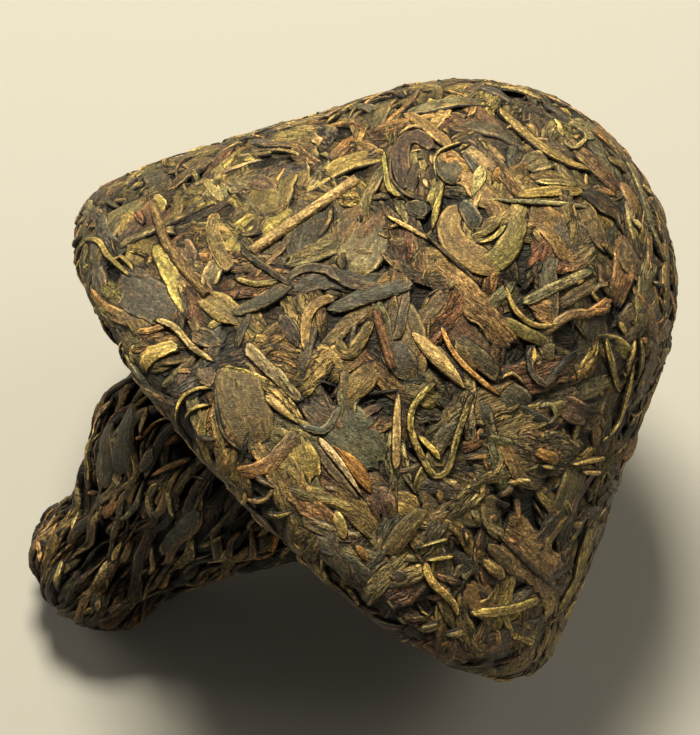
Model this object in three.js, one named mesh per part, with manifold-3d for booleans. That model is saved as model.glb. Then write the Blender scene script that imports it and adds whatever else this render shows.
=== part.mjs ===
// A mushroom-shaped tea cake: whole leaves, strips and twigs pressed in a twisted cloth bag into a
// round-crowned bell with a thick stem. It is one piece, and it lies on its rim and its stem's end.
//
// Millimetres, +Z up. The cake's own axis runs through its crown, and +X is that axis's heading on
// the surface below. The origin is on that surface, under the middle of the cake.
import * as THREE from 'three';
import { mergeVertices } from 'three/addons/utils/BufferGeometryUtils.js';
import Module from 'manifold-3d';

const wasm = await Module();
wasm.setup();

// ---- Driving dimensions: millimetres and degrees ----

// The bell, measured from its widest plane. The leaves stand on it, so it is a leaf smaller all round.
const CROWN_HEIGHT = 57.3;
const CROWN_RADIUS = 29.1;
const FLANK_ANGLE = 23.6;
const RIM_RADIUS = 44.0;
const RIM_ROUND = 5.2;
const RIM_FLARE = 20.5;
const OVAL = 0.044; // the rim is wider sideways than from top to bottom as it lies
const OVAL_TURN = 88;
const LOBES = 0.023; // and it has three soft lobes
const LOBES_TURN = 28;
const CROWN_LEAN = new THREE.Vector2(-0.9, -1.5);

// The stem: its reach below the widest plane, and its radius and sideways bend at four places.
const STEM_REACH = 50.5;
const STEM_PLACES = [0.0, 0.3, 0.62, 0.86];
const STEM_RADII = [18.2, 17.4, 12.3, 9.8];
const STEM_BEND_X = [0.0, 0.4, 3.2, 5.4];
const STEM_BEND_Y = [0.0, 6.2, 8.3, 10.0];
const HOLLOW_RADIUS = 31.0; // where the underside is deepest
const HOLLOW_RISE = 1.6;
const NECK_FILLET = 7.0;
const TWIST_RIDGES = 9;
const TWIST_DEPTH = 0.7;
const TWIST_PER_MM = 0.035;

// How it lies: the axis's rise above the surface, and the place of the widest plane's centre.
const LIE_ANGLE = 31.9;
const CENTRE = new THREE.Vector3(-5.0, 0.1, 35.9);

// Fineness of the bell and of the lumps under its leaves.
const ROUND_STEPS = 30;
const LUMP = 0.35;
const LUMP_SIZE = 9.0;
const SEED = 2107;

// ---- Seeded draws ----

function makeRandom(seed) {
  let state = seed >>> 0;
  return () => {
    state = (state + 0x6d2b79f5) >>> 0;
    let mixed = Math.imul(state ^ (state >>> 15), 1 | state);
    mixed = (mixed + Math.imul(mixed ^ (mixed >>> 7), 61 | mixed)) ^ mixed;
    return ((mixed ^ (mixed >>> 14)) >>> 0) / 4294967296;
  };
}

const random = makeRandom(SEED);
const between = (low, high) => low + (high - low) * random();
const radians = THREE.MathUtils.degToRad;
const smooth = THREE.MathUtils.smoothstep;

// ---- The bell and stem as one outline, from the crown's pole to the middle of the stem's end ----

function stemValue(values, place) {
  // A smooth run through the four stated values, level after the last.
  const last = STEM_PLACES.length - 1;
  if (place >= STEM_PLACES[last]) return values[last];
  const i = STEM_PLACES.findIndex((p) => place < p) - 1;
  const part = (place - STEM_PLACES[i]) / (STEM_PLACES[i + 1] - STEM_PLACES[i]);
  return THREE.MathUtils.lerp(values[i], values[i + 1], part * part * (3 - 2 * part));
}

function makeOutline() {
  const path = new THREE.Path();
  const flank = radians(FLANK_ANGLE);
  const flare = radians(RIM_FLARE);
  const crown = new THREE.Vector2(0, CROWN_HEIGHT - CROWN_RADIUS);
  const rim = new THREE.Vector2(RIM_RADIUS - RIM_ROUND, 0);
  path.absarc(crown.x, crown.y, CROWN_RADIUS, Math.PI / 2, flank, true);
  const from = path.getPoint(1);
  const to = new THREE.Vector2(Math.cos(flare), Math.sin(flare)).multiplyScalar(RIM_ROUND).add(rim);
  const third = from.distanceTo(to) / 3;
  path.bezierCurveTo(
    from.x + third * Math.sin(flank), from.y - third * Math.cos(flank),
    to.x - third * Math.sin(flare), to.y + third * Math.cos(flare),
    to.x, to.y,
  );
  path.absarc(rim.x, rim.y, RIM_ROUND, flare, -Math.PI / 2, true);
  const stemTop = NECK_FILLET + RIM_ROUND - HOLLOW_RISE;
  path.splineThru([
    new THREE.Vector2(HOLLOW_RADIUS, -RIM_ROUND + HOLLOW_RISE),
    new THREE.Vector2(STEM_RADII[0] + NECK_FILLET * 0.45, -RIM_ROUND - NECK_FILLET * 0.1),
    new THREE.Vector2(stemValue(STEM_RADII, stemTop / STEM_REACH) + 0.2, -stemTop),
  ]);
  return path;
}

const CAP_STEPS = 18;
const STEM_STEPS = 6;
const END_STEPS = 3;

function makeProfile() {
  const cap = makeOutline().getSpacedPoints(CAP_STEPS);
  cap[0].x = 0;
  const top = -cap[CAP_STEPS].y / STEM_REACH;
  const bottom = STEM_PLACES[STEM_PLACES.length - 1];
  const points = [...cap];
  for (let i = 1; i <= STEM_STEPS; i += 1) {
    const place = THREE.MathUtils.lerp(top, bottom, i / STEM_STEPS);
    points.push(new THREE.Vector2(stemValue(STEM_RADII, place), -place * STEM_REACH));
  }
  for (let i = 1; i <= END_STEPS; i += 1) {
    const turn = (Math.PI / 2) * (i / END_STEPS);
    const place = bottom + (1 - bottom) * Math.sin(turn);
    points.push(new THREE.Vector2(STEM_RADII[3] * Math.cos(turn), -place * STEM_REACH));
  }
  points[points.length - 1].x = 0;
  return points;
}

const PROFILE = makeProfile();

// The place across the axis of the section at height z, and how far the plan is from round there.
function sectionShift(z) {
  const crownPart = smooth(z, 0, CROWN_HEIGHT);
  const place = THREE.MathUtils.clamp(-z / STEM_REACH, 0, 1);
  return new THREE.Vector2(
    CROWN_LEAN.x * crownPart + stemValue(STEM_BEND_X, place),
    CROWN_LEAN.y * crownPart + stemValue(STEM_BEND_Y, place),
  );
}

function planFactor(radius, z, turn) {
  const rimPart = z > 0 ? 1 - smooth(z, 0, CROWN_HEIGHT) : smooth(radius, STEM_RADII[0], RIM_RADIUS);
  const oval = OVAL * Math.cos(2 * (turn - radians(OVAL_TURN)));
  const lobes = LOBES * Math.cos(3 * (turn - radians(LOBES_TURN)));
  const stemPart = smooth(-z, RIM_ROUND, RIM_ROUND + NECK_FILLET * 2) * (radius > 1 ? 1 : 0);
  const ridge = Math.cos(TWIST_RIDGES * (turn - z * TWIST_PER_MM));
  return 1 + rimPart * (oval + lobes) + (stemPart * TWIST_DEPTH * ridge) / Math.max(radius, 4);
}

function shapePoint(radius, z, turn) {
  const shift = sectionShift(z);
  const reach = radius * planFactor(radius, z, turn);
  return new THREE.Vector3(shift.x + reach * Math.cos(turn), shift.y + reach * Math.sin(turn), z);
}

// The point of the cake's skin nearest to a point near it, and the direction out of the cake there.
function seat(point) {
  const shift = sectionShift(point.z);
  const turn = Math.atan2(point.y - shift.y, point.x - shift.x);
  const reach = Math.hypot(point.x - shift.x, point.y - shift.y);
  const flat = new THREE.Vector2(reach / planFactor(reach, point.z, turn), point.z);
  let best = null;
  for (let i = 1; i < PROFILE.length; i += 1) {
    const run = PROFILE[i].clone().sub(PROFILE[i - 1]);
    const along = THREE.MathUtils.clamp(flat.clone().sub(PROFILE[i - 1]).dot(run) / run.lengthSq(), 0, 1);
    const near = PROFILE[i - 1].clone().addScaledVector(run, along);
    const gap = near.distanceTo(flat);
    if (best === null || gap < best.gap) best = { gap, near, i, along };
  }
  const on = shapePoint(best.near.x, best.near.y, turn);
  return { on, out: outward(best, turn) };
}

function profileSlope(i, along) {
  // The outline's direction, blended from corner to corner so that leaves don't kink there.
  const direction = (k) => {
    const a = PROFILE[Math.max(k - 1, 0)];
    const b = PROFILE[Math.min(k + 1, PROFILE.length - 1)];
    return b.clone().sub(a).normalize();
  };
  return direction(i - 1).lerp(direction(i), along).normalize();
}

function outward(best, turn) {
  const slope = profileSlope(best.i, best.along);
  const side = -slope.y;
  return new THREE.Vector3(side * Math.cos(turn), side * Math.sin(turn), slope.x).normalize();
}

// ---- Solids, made in the cake's own frame and then laid down ----

const LIE = new THREE.Matrix4().makeRotationY(radians(90 - LIE_ANGLE)).setPosition(CENTRE);

function toManifold(geometry) {
  geometry.deleteAttribute('normal');
  geometry.deleteAttribute('uv');
  const merged = mergeVertices(geometry, 1e-5);
  return new wasm.Manifold(new wasm.Mesh({
    numProp: 3,
    vertProperties: new Float32Array(merged.attributes.position.array),
    triVerts: new Uint32Array(merged.index.array),
  }));
}

function lump(point) {
  const a = Math.sin(((point.x * 1.1 + point.z * 0.7) / LUMP_SIZE) * 2 * Math.PI + 1.3);
  const b = Math.sin(((point.y * 1.2 - point.z * 0.8) / LUMP_SIZE) * 2 * Math.PI + 4.1);
  return LUMP * a * b;
}

function makeCore() {
  const upward = [...PROFILE].reverse();
  const geometry = new THREE.LatheGeometry(upward, ROUND_STEPS);
  const position = geometry.attributes.position;
  for (let i = 0; i < position.count; i += 1) {
    // A lathe turns about Y: its Y is the cake's Z, and its Z and X are the cake's X and Y.
    const radius = Math.hypot(position.getX(i), position.getZ(i));
    const turn = Math.atan2(position.getX(i), position.getZ(i));
    const point = shapePoint(radius, position.getY(i), turn);
    if (radius > 1) point.addScaledVector(seat(point).out, lump(point));
    position.setXYZ(i, point.x, point.y, point.z);
  }
  return toManifold(geometry.applyMatrix4(LIE));
}

// Steps along the skin from a point, turning as it goes. The last steps may leave the skin, straight
// on, as the frayed tips of the stem do. Each frame has its place and three directions.
function walk(start, heading, length, curl, steps, free = 0) {
  const frames = [];
  let { on, out } = seat(start);
  const ahead = heading.clone();
  for (let i = 0; i <= steps; i += 1) {
    ahead.addScaledVector(out, -ahead.dot(out)).normalize();
    frames.push({ on, out, ahead: ahead.clone(), side: out.clone().cross(ahead) });
    const next = on.clone().addScaledVector(ahead, length / steps);
    ahead.applyAxisAngle(out, curl / steps);
    if (i < steps - free) ({ on, out } = seat(next));
    else on = next;
  }
  return frames;
}

// A thin solid between two grids of points with the same corners, both split into triangles alike.
function sheet(top, bottom) {
  const rows = top.length;
  const columns = top[0].length;
  const corners = [...top.flat(), ...bottom.flat()];
  const at = (i, j) => i * columns + j;
  const under = (i, j) => rows * columns + at(i, j);
  const faces = [];
  for (let i = 0; i + 1 < rows; i += 1) {
    for (let j = 0; j + 1 < columns; j += 1) {
      faces.push(at(i, j), at(i + 1, j), at(i + 1, j + 1), at(i, j), at(i + 1, j + 1), at(i, j + 1));
      faces.push(under(i, j), under(i + 1, j + 1), under(i + 1, j));
      faces.push(under(i, j), under(i, j + 1), under(i + 1, j + 1));
    }
  }
  const wall = (a, b, below, next) => faces.push(a, below, b, b, below, next);
  for (let i = 0; i + 1 < rows; i += 1) {
    wall(at(i, 0), at(i + 1, 0), under(i, 0), under(i + 1, 0));
    wall(at(i + 1, columns - 1), at(i, columns - 1), under(i + 1, columns - 1), under(i, columns - 1));
  }
  for (let j = 0; j + 1 < columns; j += 1) {
    wall(at(rows - 1, j), at(rows - 1, j + 1), under(rows - 1, j), under(rows - 1, j + 1));
    wall(at(0, j + 1), at(0, j), under(0, j + 1), under(0, j));
  }
  const geometry = new THREE.BufferGeometry();
  const numbers = corners.flatMap((corner) => corner.toArray());
  geometry.setAttribute('position', new THREE.Float32BufferAttribute(numbers, 3));
  geometry.setIndex(faces);
  return toManifold(geometry.applyMatrix4(LIE));
}

// A leaf or strip that follows a walk: across holds pairs of a part of the half width and a part of
// the rise, and the underside is sunk below the skin so that the piece is rooted in the cake.
function piece(frames, width, rise, sink, across, tip, wave) {
  const last = frames.length - 1;
  const grid = (height) => frames.map((frame, i) => {
    const part = i / last;
    const inside = THREE.MathUtils.clamp(part, TIP_TRIM, 1 - TIP_TRIM);
    const half = (width / 2) * (tip + (1 - tip) * Math.sin(Math.PI * inside));
    return across.map(([sideways, up]) => {
      const ripple = wave * Math.sin(part * RIPPLE_TURN + sideways * 2);
      return frame.on.clone()
        .addScaledVector(frame.side, half * sideways)
        .addScaledVector(frame.out, height(up) + ripple);
    });
  });
  return sheet(grid((up) => rise * up), grid(() => -sink));
}

// ---- What shows on the skin ----

const BROAD_LEAF = { count: 22, length: [15, 24], width: [7, 11], rise: [0.7, 1.2], curl: 0.5, steps: 4,
  across: [[-1, 0.5], [0, 1], [1, 0.5]], tip: 0.25, wave: 0.15 };
const STRIP = { count: 22, length: [14, 26], width: [3.0, 5.0], rise: [0.9, 1.6], curl: 1.4, steps: 4,
  across: [[-1, -0.3], [0, 1], [1, -0.3]], tip: 0.35, wave: 0.1 };
const TWIG = { count: 3, length: [12, 18], width: [1.6, 2.0], rise: [1.1, 1.5], curl: 0.05, steps: 2,
  across: [[-1, 0.7], [1, 0.7]], tip: 0.9, wave: 0 };
const STRAND = { count: 13, length: [30, 40], width: [3.2, 4.8], rise: [1.0, 1.8], curl: 0.25, steps: 6,
  across: [[-1, -0.3], [0, 1], [1, -0.3]], tip: 0.4, wave: 0.12 };
const SINK = 0.9;
const TIP_TRIM = 0.06; // a leaf's tips are as wide as it is this part of its length in from them
const RIPPLE_TURN = 9; // radians of a leaf's lengthwise ripple
const STRAND_START = 9; // below the widest plane
const STRAND_SLANT = 0.35; // the strands lean round the stem as its neck was twisted
const CANDIDATES = 14;

// The largest pieces of the side that lies uppermost. Each has the places where it starts and ends,
// in degrees round the axis and millimetres above the widest plane, its width and its curl in radians.
const SHOWN = [
  [TWIG, [[162, 17, 159, 33, 1.6, 0], [139, 9, 167, 10, 1.5, 0.15], [191, 25, 203, 21, 1.6, 0.05]]],
  [BROAD_LEAF, [
    [180, 7, 196, 2, 7.3, 0.1], [153, 2, 167, 5, 5.1, 0.1], [182, 41, 200, 36, 6.0, -0.6],
    [192, 35, 221, 34, 4.5, 0.1], [185, 19, 192, 31, 2.9, -0.2], [200, 12, 215, 12, 6.8, 0.1],
    [152, 40, 176, 38, 6.5, 0.5], [198, 47, 216, 49, 4.6, 0.0], [208, 53, 233, 53, 4.6, 0.1],
    [245, 15, 270, 12, 7.3, 0.1], [215, -1, 230, -1, 4.4, 0.0], [166, 10, 175, 11, 4.4, 0.0],
    [165, 2, 178, 0, 3.6, -0.2], [147, 16, 163, 14, 3.2, 0.3], [227, 4, 227, 12, 3.8, 0.0],
  ]],
  [STRIP, [
    [173, 11, 181, 25, 2.3, -0.6], [202, 8, 217, 8, 2.8, 0.1], [200, 26, 219, 26, 2.4, 0.1],
    [144, 42, 165, 45, 2.2, 0.1], [208, 20, 218, 13, 1.8, 0.0], [212, 24, 224, 15, 1.6, -1.2],
    [151, 51, 191, 53, 1.8, -0.2], [186, 43, 214, 52, 1.4, 0.05], [216, 39, 228, 47, 1.9, -0.3],
    [243, 42, 260, 37, 1.8, -0.3], [258, 56, 272, 51, 1.6, 0.1], [233, 6, 246, 3, 1.9, 0.1],
    [247, 4, 263, 10, 1.5, -0.2], [179, 10, 195, 10, 1.9, 0.1], [136, 0, 152, 3, 1.6, 0.9],
  ]],
];

// Area of the skin between the pole and each corner of the outline, so that draws spread evenly.
const AREAS = PROFILE.map(() => 0);
for (let i = 1; i < PROFILE.length; i += 1) {
  const middle = (PROFILE[i].x + PROFILE[i - 1].x) / 2;
  AREAS[i] = AREAS[i - 1] + middle * PROFILE[i].distanceTo(PROFILE[i - 1]);
}

function drawSkinPoint() {
  const area = random() * AREAS[AREAS.length - 1];
  const i = Math.max(AREAS.findIndex((a) => a >= area), 1);
  const near = PROFILE[i - 1].clone().lerp(PROFILE[i], random());
  return shapePoint(near.x, near.y, between(0, 2 * Math.PI));
}

// The freest of a few drawn places, so that the pieces lie evenly.
function drawFreePoint(taken, allowed) {
  let best = null;
  for (let tries = 0; tries < CANDIDATES; tries += 1) {
    const point = drawSkinPoint();
    const gap = Math.min(...taken.map((other) => other.distanceTo(point)), 4 * RIM_RADIUS);
    if (allowed(point) && (best === null || gap > best.gap)) best = { point, gap };
  }
  return best ? best.point : drawFreePoint(taken, allowed);
}

function drawHeading(point) {
  const { out } = seat(point);
  const any = new THREE.Vector3(between(-1, 1), between(-1, 1), between(-1, 1));
  return any.addScaledVector(out, -any.dot(out)).normalize();
}

function root(kind, frames, width) {
  return piece(frames, width, between(...kind.rise), SINK, kind.across, kind.tip, kind.wave);
}

function drawPiece(kind, start, heading, free = 0) {
  const length = between(...kind.length);
  const curl = between(-kind.curl, kind.curl);
  const end = seat(start).on.addScaledVector(heading, free ? 0 : -length / 2);
  return root(kind, walk(end, heading, length, curl, kind.steps, free), between(...kind.width));
}

// The place on the bell at a turn round the axis and a height above the widest plane.
function bellPoint(degrees, height) {
  const i = PROFILE.findIndex((corner) => corner.y < height);
  const part = (height - PROFILE[i - 1].y) / (PROFILE[i].y - PROFILE[i - 1].y);
  return shapePoint(THREE.MathUtils.lerp(PROFILE[i - 1].x, PROFILE[i].x, part), height, radians(degrees));
}

function shownPiece(kind, [fromTurn, fromHeight, toTurn, toHeight, width, curl], taken) {
  const from = bellPoint(fromTurn, fromHeight);
  const to = bellPoint(toTurn, toHeight);
  const chord = to.clone().sub(from);
  const length = chord.length() * (curl ? curl / 2 / Math.sin(curl / 2) : 1);
  const heading = chord.normalize().applyAxisAngle(seat(from).out, -curl / 2);
  taken.push(from.lerp(to, 0.5));
  return root(kind, walk(bellPoint(fromTurn, fromHeight), heading, length, curl, kind.steps), width);
}

function capPieces() {
  const taken = [];
  const pieces = SHOWN.flatMap(([kind, rows]) => rows.map((row) => shownPiece(kind, row, taken)));
  const onCap = (point) => point.z > -RIM_ROUND - HOLLOW_RISE;
  for (const kind of [BROAD_LEAF, STRIP, TWIG]) {
    for (let i = 0; i < kind.count; i += 1) {
      const start = drawFreePoint(taken, onCap);
      taken.push(start);
      pieces.push(drawPiece(kind, start, drawHeading(start)));
    }
  }
  return pieces;
}

function stemPieces() {
  const pieces = [];
  for (let i = 0; i < STRAND.count; i += 1) {
    const turn = ((i + between(-0.3, 0.3)) / STRAND.count) * 2 * Math.PI;
    const depth = -STRAND_START - between(0, 6);
    const start = shapePoint(stemValue(STEM_RADII, -depth / STEM_REACH), depth, turn);
    const heading = new THREE.Vector3(-Math.sin(turn), Math.cos(turn), 0);
    heading.multiplyScalar(STRAND_SLANT).add(new THREE.Vector3(0, 0, -1));
    pieces.push(drawPiece(STRAND, start, heading, 1 + (i % 2)));
  }
  return pieces;
}

// ---- The cake ----

// Everything below the surface that the cake lies on, where its own weight has flattened it.
function underSurface() {
  const size = 4 * RIM_RADIUS;
  return toManifold(new THREE.BoxGeometry(size, size, size).translate(0, 0, -size / 2));
}

// The one body of a joined solid: sealed hollows and loose scraps are bodies of their own.
function mainBody(solid) {
  const bodies = solid.decompose();
  return bodies.reduce((most, body) => (body.volume() > most.volume() ? body : most));
}

function toMesh(solid, name, material) {
  const { numProp, vertProperties, triVerts } = solid.getMesh();
  const corners = [];
  for (let i = 0; i < vertProperties.length; i += numProp) corners.push(...vertProperties.slice(i, i + 3));
  const geometry = new THREE.BufferGeometry();
  geometry.setAttribute('position', new THREE.Float32BufferAttribute(corners, 3));
  geometry.setIndex([...triVerts]);
  geometry.computeVertexNormals();
  const mesh = new THREE.Mesh(geometry, material);
  mesh.name = name;
  return mesh;
}

function makeCake() {
  let cake = makeCore();
  for (const solid of [...capPieces(), ...stemPieces()]) cake = cake.add(solid);
  return mainBody(cake.subtract(underSurface()));
}

const pressedLeaf = new THREE.MeshStandardMaterial({ color: 0x57503a, roughness: 0.75, metalness: 0 });
const group = new THREE.Group();
group.add(toMesh(makeCake(), 'mushroom_tuocha', pressedLeaf));

export default group;
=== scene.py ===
# %% [markdown]
# # A mushroom tuocha
#
# The object is a cake of tea pressed by hand in a cloth bag: a round-crowned bell with a thick
# twisted stem, lying on its rim and on the end of its stem. Up close it is thousands of leaves,
# rolled strips, buds and twigs, flattened against each other with near-black gaps between them.
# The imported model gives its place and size, and this script dresses it with real leaf.

# %% The frame
import math
import random

import bpy
import numpy as np
from mathutils import Matrix, Vector, noise
from mathutils.bvhtree import BVHTree
from mathutils.kdtree import KDTree


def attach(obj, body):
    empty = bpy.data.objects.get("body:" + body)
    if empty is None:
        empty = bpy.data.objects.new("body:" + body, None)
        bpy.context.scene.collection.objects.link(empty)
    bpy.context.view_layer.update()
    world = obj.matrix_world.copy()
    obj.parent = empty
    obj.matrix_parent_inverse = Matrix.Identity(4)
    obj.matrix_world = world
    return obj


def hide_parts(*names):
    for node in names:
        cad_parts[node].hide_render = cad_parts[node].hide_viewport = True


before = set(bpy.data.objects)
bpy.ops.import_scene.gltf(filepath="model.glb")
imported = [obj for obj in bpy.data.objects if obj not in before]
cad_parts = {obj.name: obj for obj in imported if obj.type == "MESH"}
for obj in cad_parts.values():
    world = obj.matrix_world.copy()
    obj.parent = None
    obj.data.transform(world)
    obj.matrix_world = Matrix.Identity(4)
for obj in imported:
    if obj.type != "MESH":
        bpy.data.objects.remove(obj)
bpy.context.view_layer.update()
MM = 0.001

# %% [markdown]
# ## The form under the leaves
#
# A pressed cake is a turned form: a crown arc, a nearly straight flank, a tight rim and a shallow
# hollow round the stem. So it is worked out from a few radii and angles, as a potter's template
# would be, and then pushed a little out of round, as a hand-tied bag leaves it.

# %% The template's sizes, in millimetres and degrees
CROWN_HEIGHT, CROWN_RADIUS = 57.3, 29.1
FLANK_ANGLE, RIM_FLARE = 23.6, 20.5
RIM_RADIUS, RIM_ROUND = 44.0, 5.2
OVAL, OVAL_TURN = 0.044, 88
LOBES, LOBES_TURN = 0.023, 28
CROWN_LEAN = (-0.9, -1.5)
STEM_REACH = 50.5
STEM_PLACES = (0.0, 0.3, 0.62, 0.86)
STEM_RADII = (18.2, 17.4, 12.3, 9.8)
STEM_BEND_X = (0.0, 0.4, 3.2, 5.4)
STEM_BEND_Y = (0.0, 6.2, 8.3, 10.0)
HOLLOW_RADIUS, HOLLOW_RISE = 31.0, 1.6
NECK_FILLET = 7.0
UNDER_SAG, UNDER_PULL = np.array([0, 0.6]), np.array([2, 0])
FILLET_PULL, NECK_PULL = np.array([7, 0]), np.array([1, 5])
TWIST_RIDGES, TWIST_DEPTH, TWIST_PER_MM = 9, 0.7, 0.035
WAIST_DEPTH, WAIST_PLACE, WAIST_LENGTH = 1.8, 0.70, 0.09
LUMP_HEIGHT, LUMP_PLACE, LUMP_LENGTH, LUMP_TURN = 2.2, 0.50, 0.14, 110
LIE_ANGLE = 31.9
CENTRE = np.array([-5.0, 0.1, 35.9])
OUTLINE_POINTS, SKIN_TURNS = 170, 200


def smooth(value, low, high):
    part = np.clip((value - low) / (high - low), 0, 1)
    return part * part * (3 - 2 * part)


def stem_value(values, place):
    """A smooth run through the stem's stated values, level after the last."""
    total = np.full(np.shape(place), float(values[0]))
    for i in range(1, len(values)):
        total += (values[i] - values[i - 1]) * smooth(place, STEM_PLACES[i - 1], STEM_PLACES[i])
    return total


# %% The template's outline, from the crown's pole to the middle of the stem's end
def arc(middle, radius, start, end, steps=60):
    turns = np.radians(np.linspace(start, end, steps))
    return np.stack([middle[0] + radius * np.cos(turns), middle[1] + radius * np.sin(turns)], 1)


def bezier(a, b, c, d, steps=60):
    t = np.linspace(0, 1, steps)[:, None]
    return (1 - t) ** 3 * a + 3 * t * (1 - t) ** 2 * b + 3 * t**2 * (1 - t) * c + t**3 * d


def distances(points):
    """How far along a line each of its points is."""
    return np.r_[0, np.cumsum(np.linalg.norm(np.diff(points, axis=0), axis=1))]


def evenly(points, count):
    """The same line with its points at even distances."""
    runs = distances(points)
    at = np.linspace(0, runs[-1], count)
    return np.stack([np.interp(at, runs, points[:, k]) for k in range(points.shape[1])], 1)


def make_outline(count):
    flank, flare = math.radians(FLANK_ANGLE), math.radians(RIM_FLARE)
    crown = arc((0, CROWN_HEIGHT - CROWN_RADIUS), CROWN_RADIUS, 90, FLANK_ANGLE)
    rim = arc((RIM_RADIUS - RIM_ROUND, 0), RIM_ROUND, RIM_FLARE, -90)
    third = np.linalg.norm(rim[0] - crown[-1]) / 3
    side = bezier(
        crown[-1],
        crown[-1] + third * np.array([math.sin(flank), -math.cos(flank)]),
        rim[0] + third * np.array([-math.sin(flare), math.cos(flare)]),
        rim[0],
    )
    top = NECK_FILLET + RIM_ROUND - HOLLOW_RISE
    neck = np.array([STEM_RADII[0], -top])
    hollow = np.array([HOLLOW_RADIUS, -RIM_ROUND + HOLLOW_RISE])
    under = bezier(rim[-1], (rim[-1] + hollow) / 2 + UNDER_SAG, hollow + UNDER_PULL, hollow)
    fillet = bezier(hollow, hollow - FILLET_PULL, neck + NECK_PULL, neck)
    last = STEM_PLACES[-1]
    places = np.linspace(top / STEM_REACH, last, 60)
    stem = np.stack([stem_value(STEM_RADII, places), -places * STEM_REACH], 1)
    turns = np.linspace(0, math.pi / 2, 40)
    depth = (last + (1 - last) * np.sin(turns)) * STEM_REACH
    end = np.stack([STEM_RADII[-1] * np.cos(turns), -depth], 1)
    return evenly(np.concatenate([crown, side, rim, under, fillet, stem, end]), count)


OUTLINE = make_outline(OUTLINE_POINTS)
OUTLINE_RUNS = distances(OUTLINE)
print("outline:", len(OUTLINE), "points, widest at", OUTLINE[:, 0].max().round(1), "mm")


# %% From the template to a place on the cake
def plan_factor(radius, z, turn):
    rim_part = np.where(z > 0, 1 - smooth(z, 0, CROWN_HEIGHT), smooth(radius, STEM_RADII[0], RIM_RADIUS))
    oval = OVAL * np.cos(2 * (turn - math.radians(OVAL_TURN)))
    lobes = LOBES * np.cos(3 * (turn - math.radians(LOBES_TURN)))
    stem_part = smooth(-z, RIM_ROUND, RIM_ROUND + NECK_FILLET * 2)
    ridge = np.cos(TWIST_RIDGES * (turn - z * TWIST_PER_MM))
    waist = np.exp(-(((-z / STEM_REACH - WAIST_PLACE) / WAIST_LENGTH) ** 2))
    lump = np.exp(-(((-z / STEM_REACH - LUMP_PLACE) / LUMP_LENGTH) ** 2))
    lump = lump * np.maximum(np.cos(turn - math.radians(LUMP_TURN)), 0)
    stem_push = TWIST_DEPTH * ridge - WAIST_DEPTH * waist + LUMP_HEIGHT * lump
    return 1 + rim_part * (oval + lobes) + stem_part * stem_push / np.maximum(radius, 4)


LIE = math.radians(LIE_ANGLE)
ACROSS_DOWN = np.array([math.sin(LIE), 0, -math.cos(LIE)])
ACROSS_LEVEL = np.array([0.0, 1.0, 0.0])
ALONG_AXIS = np.array([math.cos(LIE), 0, math.sin(LIE)])


def skin_point(radius, z, turn):
    """A place on the cake's skin, in the frame that the cake lies in, in millimetres."""
    crown_part = smooth(z, 0, CROWN_HEIGHT)
    place = np.clip(-z / STEM_REACH, 0, 1)
    reach = radius * plan_factor(radius, z, turn)
    x = CROWN_LEAN[0] * crown_part + stem_value(STEM_BEND_X, place) + reach * np.cos(turn)
    y = CROWN_LEAN[1] * crown_part + stem_value(STEM_BEND_Y, place) + reach * np.sin(turn)
    return CENTRE + x[..., None] * ACROSS_DOWN + y[..., None] * ACROSS_LEVEL + z[..., None] * ALONG_AXIS


def turned_mesh(name, outline, turns):
    """A closed mesh of the skin: rings of quads between two poles."""
    angles = np.linspace(0, 2 * math.pi, turns, endpoint=False)
    rings = outline[1:-1]
    radius, angle = np.meshgrid(rings[:, 0], angles, indexing="ij")
    height = np.repeat(rings[:, 1:], turns, axis=1)
    points = skin_point(radius, height, angle).reshape(-1, 3)
    poles = [skin_point(np.zeros(1), outline[k : k + 1 or None, 1], np.zeros(1))[0] for k in (0, -1)]
    last = len(rings) - 1

    def at(i, j):
        return i * turns + j % turns

    top, bottom = len(points), len(points) + 1
    faces = [
        (at(i, j), at(i + 1, j), at(i + 1, j + 1), at(i, j + 1)) for i in range(last) for j in range(turns)
    ]
    faces += [(top, at(0, j), at(0, j + 1)) for j in range(turns)]
    faces += [(bottom, at(last, j + 1), at(last, j)) for j in range(turns)]
    mesh = bpy.data.meshes.new(name)
    mesh.from_pydata((np.concatenate([points, poles]) * MM).tolist(), [], faces)
    mesh.shade_smooth()
    return mesh


def add_object(name, mesh):
    made = bpy.data.objects.new(name, mesh)
    bpy.context.scene.collection.objects.link(made)
    return made


skin = add_object("skin", turned_mesh("skin", OUTLINE, SKIN_TURNS))
skin_normals = np.array([v.normal for v in skin.data.vertices])
skin_points = np.array([v.co for v in skin.data.vertices]) / MM
outward = skin.data.attributes.new("outward", "FLOAT_VECTOR", "POINT")
outward.data.foreach_set("vector", skin_normals.astype(np.float32).ravel())
# The bag's cloth lies over the crown as a flat round sheet would, so its threads run on a polar map.
down_part = (skin_points - CENTRE) @ ACROSS_DOWN
level_part = (skin_points - CENTRE) @ ACROSS_LEVEL
ring = np.r_[np.repeat(np.arange(1, len(OUTLINE) - 1), SKIN_TURNS), 0, len(OUTLINE) - 1]
bearing = np.arctan2(level_part, down_part)
from_pole = OUTLINE_RUNS[ring]
threads = np.stack([from_pole * np.cos(bearing), from_pole * np.sin(bearing), 0 * ring], 1)
cloth = skin.data.attributes.new("cloth", "FLOAT_VECTOR", "POINT")
cloth.data.foreach_set("vector", threads.astype(np.float32).ravel())
middle = skin_points.mean(0)
print("skin points outwards:", bool((((skin_points - middle) * skin_normals).sum(1) > 0).mean() > 0.9))

# %% [markdown]
# ## The camera
#
# The photograph looks steeply down on the lying cake. The camera is made first, because the
# largest leaves are then placed through it, each where the photograph shows it, and dropped along
# the line of sight onto the skin.

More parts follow.
